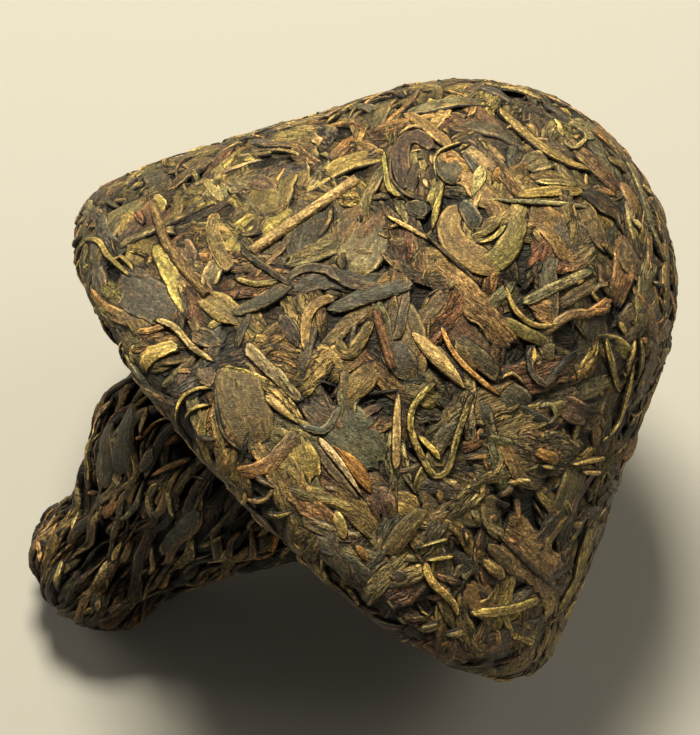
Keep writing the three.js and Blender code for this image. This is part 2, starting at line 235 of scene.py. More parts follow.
# %% The camera
IMAGE_WIDTH, IMAGE_HEIGHT = 700, 735
AXIS_PIXEL = (323.3, 417.6)
PIXEL_MM = 0.141
DISTANCE = 600.0
ELEVATION = math.radians(65.8)
HEADING = math.radians(35.8)
SENSOR = 36.0

view_right = np.array([math.cos(HEADING), -math.sin(HEADING), 0])
view_ahead = np.array([math.sin(HEADING), math.cos(HEADING), 0])
view_up = view_ahead * math.sin(ELEVATION) + np.array([0, 0, math.cos(ELEVATION)])
view_back = -view_ahead * math.cos(ELEVATION) + np.array([0, 0, math.sin(ELEVATION)])
eye = (
    CENTRE
    + DISTANCE * view_back
    + (IMAGE_WIDTH / 2 - AXIS_PIXEL[0]) * PIXEL_MM * view_right
    + (AXIS_PIXEL[1] - IMAGE_HEIGHT / 2) * PIXEL_MM * view_up
)
camera = bpy.data.objects.new("camera", bpy.data.cameras.new("camera"))
bpy.context.scene.collection.objects.link(camera)
camera.data.sensor_width = SENSOR
camera.data.lens = SENSOR * DISTANCE / (IMAGE_HEIGHT * PIXEL_MM)
turned = Matrix(np.stack([view_right, view_up, view_back], 1).tolist()).to_4x4()
camera.matrix_world = Matrix.Translation(Vector(eye * MM)) @ turned
bpy.context.scene.camera = camera
print("lens:", round(camera.data.lens, 1), "mm, eye:", eye.round(0))

# %% [markdown]
# ## Nodes as sums
#
# Leaves are made by Geometry Nodes and finished by shader nodes. Both kinds of tree are easier to
# read as sums than as lists of links, so one small class stands for a node's output and makes a
# Math or Vector Math node for each operator.


# %% A socket that can be added and multiplied
class Wire:
    def __init__(self, graph, socket):
        self.graph = graph
        self.socket = socket

    def is_vector(self):
        return self.socket.type == "VECTOR"

    def joined(self, operation, other, swapped=False):
        first, second = (other, self) if swapped else (self, other)
        vectors = [isinstance(x, Wire) and x.is_vector() or isinstance(x, tuple) for x in (first, second)]
        if not any(vectors):
            return self.graph.node("ShaderNodeMath", {"operation": operation}, {0: first, 1: second})
        if all(vectors):
            return self.graph.node("ShaderNodeVectorMath", {"operation": operation}, {0: first, 1: second})
        vector, number = (first, second) if vectors[0] else (second, first)
        return self.graph.node("ShaderNodeVectorMath", {"operation": "SCALE"}, {0: vector, "Scale": number})

    def __add__(self, other):
        return self.joined("ADD", other)

    __radd__ = __add__

    def __mul__(self, other):
        return self.joined("MULTIPLY", other)

    __rmul__ = __mul__

    def __sub__(self, other):
        return self.joined("SUBTRACT", other)

    def __rsub__(self, other):
        return self.joined("SUBTRACT", other, swapped=True)

    def __truediv__(self, other):
        return self.joined("DIVIDE", other)

    def __pow__(self, other):
        return self.joined("POWER", other)

    def maths(self, operation, *others):
        values = {i + 1: other for i, other in enumerate(others)}
        return self.graph.node("ShaderNodeMath", {"operation": operation}, {0: self, **values})

    def vector(self, operation, *others):
        values = {i + 1: other for i, other in enumerate(others)}
        return self.graph.node("ShaderNodeVectorMath", {"operation": operation}, {0: self, **values})

    def other(self, name):
        return Wire(self.graph, self.socket.node.outputs[name])

    def held(self, low=0.0, high=1.0):
        return self.maths("MAXIMUM", low).maths("MINIMUM", high)

    def parts(self):
        split = self.graph.node("ShaderNodeSeparateXYZ", {}, {0: self})
        return split, split.other("Y"), split.other("Z")


class Graph:
    """A node tree, with one method that adds any node."""

    def __init__(self, tree):
        self.tree = tree

    def node(self, kind, settings=None, values=None, out=0):
        made = self.tree.nodes.new(kind)
        for name, value in (settings or {}).items():
            setattr(made, name, value)
        for name, value in (values or {}).items():
            self.put(self.find(made.inputs, name), value)
        return Wire(self, self.find(made.outputs, out)) if made.outputs else None

    def find(self, sockets, name):
        usable = [s for s in sockets if s.enabled]
        if isinstance(name, int):
            return usable[name]
        return next(s for s in usable if s.name == name)

    def put(self, socket, value):
        if isinstance(value, Wire):
            self.tree.links.new(value.socket, socket)
        else:
            socket.default_value = value

    def vector(self, x, y, z):
        return self.node("ShaderNodeCombineXYZ", {}, {0: x, 1: y, 2: z})

    def cloud(self, place, scale, detail, roughness=0.5):
        values = {"Vector": place, "Scale": scale, "Detail": detail, "Roughness": roughness}
        return self.node("ShaderNodeTexNoise", {}, values)

    def mixed(self, factor, first, second):
        values = {"Factor": factor, "A": first, "B": second}
        return self.node("ShaderNodeMix", {"data_type": "VECTOR"}, values)


def graph_with_inputs(name, inputs):
    """A Geometry Nodes tree with a geometry in and out, and a named input for each size."""
    tree = bpy.data.node_groups.new(name, "GeometryNodeTree")
    tree.interface.new_socket("Geometry", in_out="OUTPUT", socket_type="NodeSocketGeometry")
    tree.interface.new_socket("Geometry", in_out="INPUT", socket_type="NodeSocketGeometry")
    for label, kind in inputs.items():
        tree.interface.new_socket(label, in_out="INPUT", socket_type="NodeSocket" + kind)
    graph = Graph(tree)
    entry = graph.node("NodeGroupInput")
    sockets = {s.name: Wire(graph, s) for s in entry.socket.node.outputs if s.name}
    return graph, sockets


def finish_graph(graph, geometry, material):
    real = graph.node("GeometryNodeRealizeInstances", {}, {"Geometry": geometry})
    painted = graph.node("GeometryNodeSetMaterial", {}, {"Geometry": real, "Material": material})
    graph.node("NodeGroupOutput", {}, {0: painted})
    return graph.tree


def grown(name, carrier, tree, values):
    """The plain mesh that a tree makes of a carrier object, as a new object."""
    modifier = carrier.modifiers.new(name, "NODES")
    modifier.node_group = tree
    for item in tree.interface.items_tree:
        if item.in_out == "INPUT" and item.name in values:
            modifier[item.identifier] = values[item.name]
    depsgraph = bpy.context.evaluated_depsgraph_get()
    mesh = bpy.data.meshes.new_from_object(
        carrier.evaluated_get(depsgraph), preserve_all_data_layers=True, depsgraph=depsgraph
    )
    carrier.modifiers.remove(modifier)
    mesh.name = name
    made = add_object(name, mesh)
    triangles = sum(len(face.vertices) - 2 for face in mesh.polygons)
    print(name, "has", triangles, "triangles")
    return made


# %% [markdown]
# ## One leaf, by rule
#
# Every leaf, strip, bud and twig here is the same kind of thing: a thin body that follows a line on
# the skin. A tree sweeps a flat loop along that line, lays each corner on the nearest place of the
# skin, and lifts it by the leaf's own back, folds and crumples. What makes a broad leaf, a rolled
# strip or a twig is only numbers, which each line carries as attributes.

# %% The tree that makes leaves of lines
LEAF_INPUTS = {
    "Skin": "Object",
    "Step": "Float",
    "Corners": "Int",
    "Thickness": "Float",
    "Flatness": "Float",
    "Fold height": "Float",
    "Fold width": "Float",
    "Crumple height": "Float",
    "Crumples per mm": "Float",
    "Crease depth": "Float",
    "Creases per mm": "Float",
    "Edge drop": "Float",
    "Ragged": "Float",
    "Material": "Material",
}
# How far in from its edge a leaf bends down, and the height from which the bag pressed it flatter.
EDGE_BEND = 0.6
PRESSED_FROM, PRESSED_BY = 0.5, 0.4
FLOOR_GAP = 0.15
# How far each noise jumps from one leaf to the next, times the leaf's own seed.
CRUMPLE_JUMP, EDGE_JUMP, END_JUMP, CREASE_JUMP, FOLD_JUMP, PLACE_JUMP = 97, 61, 43, 31, 40, 50


def make_leaf_tree():
    graph, given = graph_with_inputs("leaves on lines", LEAF_INPUTS)
    node = graph.node
    skin_mesh = node("GeometryNodeObjectInfo", {}, {"Object": given["Skin"]}, "Geometry")
    position = node("GeometryNodeInputPosition")

    def read(name, kind="FLOAT"):
        return node("GeometryNodeInputNamedAttribute", {"data_type": kind}, {"Name": name})

    def store(geometry, name, value, kind="FLOAT"):
        return node(
            "GeometryNodeStoreNamedAttribute",
            {"data_type": kind, "domain": "POINT"},
            {"Geometry": geometry, "Name": name, "Value": value},
        )

    def on_skin(value, place):
        return node(
            "GeometryNodeSampleNearestSurface",
            {"data_type": "FLOAT_VECTOR"},
            {"Mesh": skin_mesh, "Value": value, "Sample Position": place},
        )

    lines = node("GeometryNodeMeshToCurve", {}, {"Mesh": given["Geometry"]})
    lines = node("GeometryNodeCurveSplineType", {"spline_type": "CATMULL_ROM"}, {"Curve": lines})
    lines = node(
        "GeometryNodeResampleCurve", {"mode": "LENGTH"}, {"Curve": lines, "Length": given["Step"] * MM}
    )
    out_here = on_skin(read("outward", "FLOAT_VECTOR"), position)
    ahead = node("GeometryNodeInputTangent")
    sideways = out_here.vector("CROSS_PRODUCT", ahead).vector("NORMALIZE")
    spline = node("GeometryNodeSplineParameter")
    from_start = spline.other("Length") / MM
    from_end = node("GeometryNodeSplineLength") / MM - from_start
    lines = store(lines, "along", spline)
    lines = store(lines, "along_mm", from_start)
    lines = store(lines, "end_mm", from_start.maths("MINIMUM", from_end))
    lines = store(lines, "line_place", position, "FLOAT_VECTOR")
    lines = store(lines, "line_side", sideways, "FLOAT_VECTOR")
    lines = store(lines, "line_ahead", ahead, "FLOAT_VECTOR")

    loop = node("GeometryNodeCurvePrimitiveCircle", {}, {"Resolution": given["Corners"], "Radius": 1.0})
    loop = store(loop, "loop_place", position, "FLOAT_VECTOR")
    body = node(
        "GeometryNodeCurveToMesh", {}, {"Curve": lines, "Profile Curve": loop, "Fill Caps": True}
    )

    across, upper, _ = read("loop_place", "FLOAT_VECTOR").parts()
    along, seed = read("along"), read("seed")
    half = read("half_width")
    along_mm = read("along_mm")
    across_mm = across * half
    taper = ((along.held(0.01, 0.99) ** read("skew")) * math.pi).maths("SINE") ** read("point")
    edge_place = graph.vector(along_mm * 0.45, across.maths("SIGN") * 3, seed * EDGE_JUMP)
    end_place = graph.vector(across_mm * 0.9, along.maths("ROUND") * 5, seed * END_JUMP)
    edge_noise = graph.cloud(edge_place, 1.0, 2.0)
    end_noise = graph.cloud(end_place, 1.0, 2.0)
    ragged_width = 1 + given["Ragged"] * (edge_noise - 0.5)
    near_end = ((along - 0.5) * 2).maths("ABSOLUTE") ** 6
    end_push = near_end * (end_noise - 0.5) * given["Ragged"] * (along - 0.5).maths("SIGN") * half
    flat = (
        read("line_place", "FLOAT_VECTOR")
        + read("line_side", "FLOAT_VECTOR") * (across_mm * taper * ragged_width * MM)
        + read("line_ahead", "FLOAT_VECTOR") * (end_push * 3.0 * MM)
    )
    foot = on_skin(position, flat)
    out = on_skin(read("outward", "FLOAT_VECTOR"), flat).vector("NORMALIZE")

    crumple_place = graph.vector(along_mm * 0.4, across_mm, seed * CRUMPLE_JUMP)
    crease_place = graph.vector(along_mm * 0.25, across_mm, seed * CREASE_JUMP)
    crumple = graph.cloud(crumple_place, given["Crumples per mm"], 3.0)
    creases = graph.cloud(crease_place, given["Creases per mm"], 1.0)
    crease = ((creases - 0.5).maths("ABSOLUTE") * 9).held()
    inside = 1 - across.maths("ABSOLUTE") ** 4
    edge_mm = ((1 - across.maths("ABSOLUTE")) * half * taper).maths("MINIMUM", read("end_mm"))
    drop = 1 - (edge_mm / EDGE_BEND).held()
    fold_phase = across_mm * (2 * math.pi) / given["Fold width"] + seed * FOLD_JUMP + along_mm * 0.06
    height = (
        read("lift")
        + read("roll") * across
        + read("rise") * (1 - across * across) * taper
        + given["Fold height"] * fold_phase.maths("SINE") * inside
        + given["Crumple height"] * (crumple - 0.5) * 2
        + given["Crease depth"] * (crease - 1)
        - given["Edge drop"] * drop * drop
    )
    proud = (height - PRESSED_FROM).maths("MAXIMUM", 0.0)
    height = height.maths("MINIMUM", PRESSED_FROM) + proud * PRESSED_BY
    facing = (upper * given["Flatness"]).held(-1, 1)
    depth = (facing - 1) * 0.5 * given["Thickness"]
    place = foot + out * ((height + depth) * MM)
    x, y, z = place.parts()
    placed = node(
        "GeometryNodeSetPosition",
        {},
        {"Geometry": body, "Position": graph.vector(x, y, z.maths("MAXIMUM", FLOOR_GAP * MM))},
    )
    cloth = on_skin(read("cloth", "FLOAT_VECTOR"), flat)
    placed = store(placed, "cloth", cloth, "FLOAT_VECTOR")
    leaf_place = graph.vector(along_mm, across_mm, seed * PLACE_JUMP)
    placed = store(placed, "leaf_place", leaf_place, "FLOAT_VECTOR")
    placed = store(placed, "leaf_edge", edge_mm)
    placed = store(placed, "leaf_height", height)
    placed = store(placed, "leaf_facing", facing)
    for name in ("loop_place", "line_place", "line_side", "line_ahead", "along", "along_mm", "end_mm",
                 "half_width"):
        placed = node("GeometryNodeRemoveAttribute", {}, {"Geometry": placed, "Name": name})
    return finish_graph(graph, placed, given["Material"])


leaf_tree = make_leaf_tree()
print("leaf tree:", len(leaf_tree.nodes), "nodes")

# %% [markdown]
# ## The leaf's colours
#
# Half-fermented leaf is many colours at once: slate and purple-brown old leaves, olive and gold
# younger ones, red-brown stalks, orange-brown twigs and pale buds. Each piece takes one colour from
# a short list and varies it a little, and its material then streaks it along the fibres.

# %% The list of colours, as the share of light that each sends back
TINTS = {
    "charcoal": (0.022, 0.018, 0.011),
    "slate": (0.056, 0.047, 0.028),
    "slate_blue": (0.053, 0.050, 0.038),
    "purple_brown": (0.082, 0.055, 0.030),
    "dark_brown": (0.058, 0.038, 0.022),
    "dark_olive": (0.088, 0.067, 0.022),
    "grey_olive": (0.145, 0.117, 0.052),
    "olive": (0.148, 0.110, 0.034),
    "olive_gold": (0.245, 0.175, 0.048),
    "yellow_olive": (0.225, 0.168, 0.044),
    "brown": (0.165, 0.100, 0.034),
    "light_brown": (0.215, 0.135, 0.050),
    "red_brown": (0.150, 0.064, 0.026),
    "orange_brown": (0.235, 0.112, 0.030),
    "tan": (0.285, 0.198, 0.074),
    "gold": (0.290, 0.205, 0.055),
    "cream": (0.390, 0.300, 0.135),
}
draw = random.Random(2107)
between = draw.uniform
surface = BVHTree.FromPolygons(
    [tuple(p) for p in skin_points], [tuple(f.vertices) for f in skin.data.polygons]
)


def varied(tint, amount=0.24):
    level = 1 + between(-amount, amount)
    return [channel * level * (1 + between(-0.09, 0.09)) for channel in TINTS[tint]] + [1.0]


def drawn_tint(weights):
    return draw.choices(list(weights), list(weights.values()))[0]


def faded(first, second, count):
    """Colours along a line, from its first to its second."""
    shares = [i / (count - 1) for i in range(count)]
    return [[a + (b - a) * share for a, b in zip(first, second)] for share in shares]


# %% Lines on the skin
LEAF_NUMBERS = ("half_width", "lift", "rise", "roll", "point", "skew", "creased", "seed")


class Lines:
    """Lines on the skin, each with its leaf's own numbers, gathered as one mesh of edges."""

    def __init__(self):
        self.points, self.edges, self.tints = [], [], []
        self.numbers = {name: [] for name in LEAF_NUMBERS}

    def add(self, points, tint, **numbers):
        numbers.setdefault("seed", draw.random())
        numbers.setdefault("skew", 2 ** between(-0.8, 0.8))
        numbers.setdefault("creased", between(0.3, 1.0))
        level = between(0.55, 1.05)
        numbers.setdefault("fade", [channel * level for channel in tint[:3]] + [1.0])
        first = len(self.points)
        self.points += [tuple(p) for p in points]
        self.edges += [(i, i + 1) for i in range(first, first + len(points) - 1)]
        self.tints += faded(tint, numbers["fade"], len(points))
        for name in LEAF_NUMBERS:
            value = numbers[name]
            self.numbers[name] += list(value) if hasattr(value, "__len__") else [value] * len(points)

    def carrier(self):
        mesh = bpy.data.meshes.new("lines")
        mesh.from_pydata((np.array(self.points) * MM).tolist(), self.edges, [])
        for name, values in self.numbers.items():
            mesh.attributes.new(name, "FLOAT", "POINT").data.foreach_set("value", values)
        tint = mesh.attributes.new("tint", "FLOAT_COLOR", "POINT")
        tint.data.foreach_set("color", np.array(self.tints, np.float32).ravel())
        return add_object("lines", mesh)


def leaves(name, lines, material, **sizes):
    """The leaves of one kind, swept along their lines."""
    carrier = lines.carrier()
    values = {label.replace("_", " ").capitalize(): value for label, value in sizes.items()}
    made = grown(name, carrier, leaf_tree, {"Skin": skin, "Material": material, **values})
    bpy.data.objects.remove(carrier)
    made.data.shade_smooth()
    return made


def walked(start, heading, length, curl, kink, steps=5):
    """Points along the skin from a place, turning as they go, with a small kink at each step."""
    point, out, _, _ = surface.find_nearest(Vector(start))
    ahead = Vector(heading)
    points = [point]
    for _ in range(steps):
        ahead = (ahead - out * ahead.dot(out)).normalized()
        ahead.rotate(Matrix.Rotation(curl / steps + draw.gauss(0, kink), 3, out))
        point, out, _, _ = surface.find_nearest(point + ahead * (length / steps))
        points.append(point)
    return points


# %% Places drawn evenly over the cap, and on the underside round the stem
triangles = np.array([(f.vertices[0], f.vertices[k], f.vertices[k + 1]) for f in skin.data.polygons
                      for k in range(1, len(f.vertices) - 1)])
corners = skin_points[triangles]
areas = np.linalg.norm(np.cross(corners[:, 1] - corners[:, 0], corners[:, 2] - corners[:, 0]), axis=1) / 2
heights = (corners.mean(1) - CENTRE) @ ALONG_AXIS
on_cap = heights > -RIM_ROUND - HOLLOW_RISE
cap_area = areas[on_cap].sum()
print("area of the cap:", round(cap_area / 100), "cm2, of the stem:", round(areas[~on_cap].sum() / 100))
cap_faces = np.nonzero(on_cap)[0]
cap_shares = np.cumsum(areas[on_cap]) / cap_area


def cap_place():
    face = corners[cap_faces[min(np.searchsorted(cap_shares, draw.random()), len(cap_faces) - 1)]]
    a, b = sorted((draw.random(), draw.random()))
    return Vector(face[0] * a + face[1] * (b - a) + face[2] * (1 - b))


def free_place(taken, tries=8):
    """The freest of a few drawn places, so that the leaves lie evenly."""
    if not taken:
        return cap_place()
    tree = KDTree(len(taken))
    for i, place in enumerate(taken):
        tree.insert(place, i)
    tree.balance()
    return max((cap_place() for _ in range(tries)), key=lambda p: tree.find(p)[2])


GRAIN_SIZE = 26.0


def grain_heading(place, spread):
    """Neighbouring leaves lie roughly alike, as they were raked into the bag."""
    turn = 2 * math.pi * noise.noise(place / GRAIN_SIZE) + draw.gauss(0, spread)
    _, out, _, _ = surface.find_nearest(place)
    level = out.cross(Vector(ALONG_AXIS) + Vector((0.01, 0.02, 0.03))).normalized()
    level.rotate(Matrix.Rotation(turn, 3, out))
    return level


# %% [markdown]
# ## Finishes
#
# Pressed leaf is matt to satin, streaked along its fibres and paler where edges are worn; that pale
# rim is partly wear and partly a painted highlight. Its colour is also painted darker in creases and
# cracks, where it dips under its neighbours, and along each leaf's edge and sides, as painted shade.
# The bag has left the print of its weave on everything. The material reads each leaf's own
# millimetres, so the streaks follow every bend, and the skin's polar map, so the weave runs across
# all leaves alike.


# %% The leaf material
WEAVE_MM = 0.55
WORN_GOLD = (0.060, 0.040, 0.009)
RUSSET = (0.090, 0.040, 0.012)
PALE_FLECK = (0.045, 0.028, 0.007)
DARK_FLECK = (0.50, 0.30, 0.20)
# Pale rim colour: partly a worn edge, partly a painted highlight.
WORN_EDGE_AND_GLINT = (0.150, 0.100, 0.034)
# Near-black painted shade, put on each leaf's edge band and on its sides, where the gaps between leaves lie
# in shade.
PAINTED_GAP_SHADE = (0.008, 0.006, 0.004)


def make_leaf_material(
    name, streak=0.6, fibre_depth=0.08, worn_rim_and_glint=0.5, edge_shade_strength=0.95, edge_width=1.0, gloss=0.5, mottle=0.4
):
    material = bpy.data.materials.new(name)
    material.use_nodes = True
    graph = Graph(material.node_tree)
    node = graph.node
    shader = material.node_tree.nodes["Principled BSDF"]
    mix = graph.mixed

    def read(attribute, out):
        return node("ShaderNodeAttribute", {"attribute_name": attribute}, {}, out)

    def cloud(along, across, detail, jump=(0.0, 0.0, 0.0)):
        """Noise at so many lumps for each millimetre along and across the leaf."""
        spread = place.vector("MULTIPLY", (along, across, 1.0))
        return graph.cloud(spread + jump, 1.0, detail, 0.6)

    def step(value, low, high):
        values = {"Value": value, "From Min": low, "From Max": high}
        return node("ShaderNodeMapRange", {"interpolation_type": "SMOOTHSTEP"}, values)

    tint = read("tint", "Vector")
    place = read("leaf_place", "Vector")
    edge, height, facing = read("leaf_edge", "Fac"), read("leaf_height", "Fac"), read("leaf_facing", "Fac")
    threads = read("cloth", "Vector")

    fibre = cloud(0.40, 2.8, 3.0)
    patch = cloud(0.30, 0.55, 3.0)
    stain = cloud(0.45, 0.60, 3.0, (7.0, 3.0, 5.0))
    grain = graph.cloud(place, 4.5, 2.0, 0.6)
    speckle = graph.cloud(place, 2.2, 4.0, 0.6)
    fleck = cloud(2.4, 3.6, 3.0, (11.0, 4.0, 2.0))
    creased = read("creased", "Fac")
    # Creases are the valleys of a noise folded about its middle: sharp lines with smooth leaf between.
    crease = (cloud(0.18, 0.62, 2.0, (2.0, 9.0, 4.0)) - 0.5).maths("ABSOLUTE")
    wrinkle = (cloud(0.50, 2.10, 1.0, (5.0, 1.0, 8.0)) - 0.5).maths("ABSOLUTE")
    # Dried leaf also cracks across: the borders of small cells, bent by noise and shown in part.
    bent = place.vector("MULTIPLY", (0.42, 1.05, 1.0)) + graph.vector(fibre * 1.4, stain * 1.6, 0.0)
    at_cell = {"Vector": bent, "Scale": 1.0}
    border = node("ShaderNodeTexVoronoi", {"feature": "DISTANCE_TO_EDGE"}, at_cell, "Distance")
    cell, cell_hue, _ = node("ShaderNodeTexVoronoi", {"feature": "F1"}, at_cell, "Color").parts()
    shown = step(patch + (grain - 0.5) * 0.3, 0.38, 0.52) * creased
    crack = (1 - step(border, 0.02, 0.10)) * shown
    deep, shallow = 1 - step(crease, 0.004, 0.030), 1 - step(wrinkle, 0.0, 0.040)
    # Painted shade in the creases, wrinkles and cracks, taken off the colour further down.
    painted_crease_shade = ((deep * 0.95 + shallow * 0.30) * creased).maths("MAXIMUM", crack).held(0.0, 0.95)

    red, _, _ = tint.parts()
    glow = (red * 5 - 0.12).held(0.1, 1.0)
    colour = tint * (1 - streak / 2 + streak * fibre) * (0.7 + 0.6 * grain)
    colour = colour * (1 + (cell - 0.5) * 0.9 * shown)
    colour = mix(step(cell_hue, 0.74, 0.79) * shown, colour, colour * 0.9 + RUSSET)
    ragged = (speckle - 0.5) * 0.5
    colour = mix(step(patch + ragged, 0.50, 0.66) * mottle, colour, colour * 1.3 + glow * WORN_GOLD)
    colour = mix(step(stain + ragged, 0.54, 0.68) * mottle, colour, colour * 0.5 + RUSSET)
    colour = mix(step(fleck, 0.56, 0.66) * 0.9, colour, colour * 1.9 + glow * PALE_FLECK)
    colour = mix(step(fleck, 0.44, 0.32) * 0.9, colour, colour.vector("MULTIPLY", DARK_FLECK))
    # Painted shade: the last factor darkens the colour near the crease lines; the first is random speckle.
    colour = colour * (0.62 + 0.86 * step(speckle, 0.30, 0.70)) * (0.80 + 0.50 * step(crease, 0.03, 0.14))
    torn_edge = edge / edge_width + (grain - 0.5) * 0.30
    # The pale rim just inside each edge is partly wear and partly a painted highlight, where a curled edge
    # catches the light.
    rim = step(torn_edge, 0.24, 0.34) * (1 - step(torn_edge, 0.44, 0.80)) * step(stain, 0.43, 0.53)
    colour = mix(rim * worn_rim_and_glint, colour, colour * 2.4 + WORN_EDGE_AND_GLINT)
    # Painted shade: the colour is darkened by the crease shade above and, much more, where the leaf lies
    # low under its neighbours.
    colour = colour * (1 - painted_crease_shade) * (0.08 + 0.92 * step(height, -0.60, 0.28))
    # Painted shade: a near-black band along each leaf's torn edge, and on its sides and underside, stands
    # in for the shaded gaps between leaves.
    painted_edge_shade = (1 - step(torn_edge, 0.16, 0.32)) * edge_shade_strength
    colour = mix(painted_edge_shade.maths("MAXIMUM", step(facing, 0.6, -0.2)), colour, PAINTED_GAP_SHADE)
    graph.put(shader.inputs["Base Color"], colour)
    graph.put(shader.inputs["Roughness"], 0.80 - gloss * 0.45 + 0.25 * (fibre - 0.5))
    shader.inputs["Specular IOR Level"].default_value = 0.3

    x, y, _ = (threads * (2 * math.pi / WEAVE_MM)).parts()
    weave = x.maths("SINE") * y.maths("SINE") * 0.5 + 0.5
    fine = cloud(0.8, 5.5, 2.0)
    relief = (
        (fine + fibre * 1.5) * fibre_depth * creased
        + (crease * 6).held() * 0.28 * creased
        + (wrinkle * 7).held() * 0.07 * creased
        + weave * 0.020
        + (border * 5).held() * 0.20 * shown
        + grain * 0.06
        + speckle * 0.18
    )
    bump = node("ShaderNodeBump", {}, {"Height": relief, "Distance": MM, "Strength": 1.0})
    graph.put(shader.inputs["Normal"], bump)
    return material


leaf_finish = make_leaf_material("pressed leaf")
strip_finish = make_leaf_material(
    "rolled strip", streak=0.8, fibre_depth=0.12, edge_width=0.6, gloss=0.55, mottle=0.35
)
bud_finish = make_leaf_material(
    "downy bud", streak=1.1, fibre_depth=0.10, worn_rim_and_glint=0.2, edge_width=0.5, gloss=0.3, mottle=0.15
)
twig_finish = make_leaf_material("twig", streak=0.7, worn_rim_and_glint=0.1, edge_shade_strength=0.3, gloss=0.4, mottle=0.2)


# %% The core's material
DARK_CRUMB, PALE_CRUMB = (0.004, 0.003, 0.002), (0.022, 0.016, 0.009)
CRUMBS_PER_METRE = 900.0
CRUMB_DEPTH = 0.4


def make_core_material():
    material = bpy.data.materials.new("packed core")
    material.use_nodes = True
    graph = Graph(material.node_tree)
    shader = material.node_tree.nodes["Principled BSDF"]
    place = graph.node("ShaderNodeTexCoord", {}, {}, "Object")
    crumbs = graph.cloud(place, CRUMBS_PER_METRE, 4.0)
    graph.put(shader.inputs["Base Color"], graph.mixed(crumbs, DARK_CRUMB, PALE_CRUMB))
    shader.inputs["Roughness"].default_value = 0.95
    shader.inputs["Specular IOR Level"].default_value = 0.15
    bump = graph.node("ShaderNodeBump", {}, {"Height": crumbs, "Distance": CRUMB_DEPTH * MM})
    graph.put(shader.inputs["Normal"], bump)
    return material


core_finish = make_core_material()
print("materials:", [material.name for material in bpy.data.materials])

# %% [markdown]
# ## The core
#
# Between the leaves one sees down into packed crumb. The core is the same turned form, sunk a
# little below the skin and roughened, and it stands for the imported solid.

# %% The core
CORE_SINK, CORE_ROUGH = 0.95, 0.55
CORE_RINGS, CORE_TURNS = 190, 260
CORE_GAP = 0.1
LUMPS_PER_MM, CRUMBS_PER_MM = 0.45, 1.3


def make_core():
    core = add_object("packed_core", turned_mesh("packed_core", evenly(OUTLINE, CORE_RINGS), CORE_TURNS))
    normals = [v.normal.copy() for v in core.data.vertices]
    for vertex, out in zip(core.data.vertices, normals):
        at = vertex.co / MM
        rough = noise.turbulence(at * LUMPS_PER_MM, 3, False) - 0.5 + 0.5 * noise.noise(at * CRUMBS_PER_MM)
        vertex.co += out * (CORE_ROUGH * rough - CORE_SINK) * MM
        vertex.co.z = max(vertex.co.z, CORE_GAP * MM)
    core.data.materials.append(core_finish)
    return core


core = make_core()
print("core:", len(core.data.polygons), "faces")

# %% [markdown]
# ## The leaves that the photograph shows one by one
#
# The eye knows this cake by some 140 pieces: a coil of dark leaf near the crown, a hairpin strip,
# three straight twigs, a pale striped bud. Each is given by its colour, its width and a few pixels
# of its middle line, and the line of sight through each pixel finds its place on the skin.


# %% From a pixel to the skin
def sighted(pixel):
    x, y = pixel
    aim = (
        eye
        - DISTANCE * view_back
        + (x - IMAGE_WIDTH / 2) * PIXEL_MM * view_right
        + (IMAGE_HEIGHT / 2 - y) * PIXEL_MM * view_up
    )
    ray = Vector(aim - eye).normalized()
    hit, _, _, _ = surface.ray_cast(Vector(eye), ray)
    if hit is None:
        near = Vector(eye) + ray * (Vector(CENTRE) - Vector(eye)).dot(ray)
        hit, _, _, _ = surface.find_nearest(near)
    return hit


def sighted_line(pixels):
    """The places under a few pixels, with one more between them where only two are given."""
    places = [sighted(pixel) for pixel in pixels]
    if len(places) == 2:
        middle, _, _, _ = surface.find_nearest((places[0] + places[1]) / 2)
        places.insert(1, middle)
    return places


# %% What each kind of piece is like, in millimetres
KINDS = {
    "under": dict(rise=0.05, point=0.14, roll=0.25),
    "broad": dict(rise=0.08, point=0.16, roll=0.22),
    "smooth": dict(rise=0.08, point=0.16, roll=0.15, creased=0.12),
    "ribbon": dict(rise=0.10, point=0.12, roll=0.22),
    "strip": dict(rise=0.18, point=0.13, roll=0.20),
    "thin": dict(rise=0.20, point=0.15, roll=0.10),
    "hairpin": dict(rise=0.25, point=0.05, roll=0.05, skew=1.0, creased=0.7,
                    fade=[*TINTS["dark_olive"], 1.0]),
    "shred": dict(rise=0.10, point=0.10, roll=0.20),
    "bud": dict(rise=0.75, point=0.70, roll=0.05),
    "twig": dict(rise=0.60, point=0.04, roll=0.0, skew=1.0),
}
gathered = {kind: Lines() for kind in KINDS if kind != "hairpin"}


def add_piece(kind, points, tint, width, lift, **changes):
    numbers = dict(KINDS[kind], half_width=width / 2, lift=lift)
    numbers["roll"] *= between(-1, 1)
    numbers.update(changes)
    gathered["thin" if kind == "hairpin" else kind].add(points, tint, **numbers)


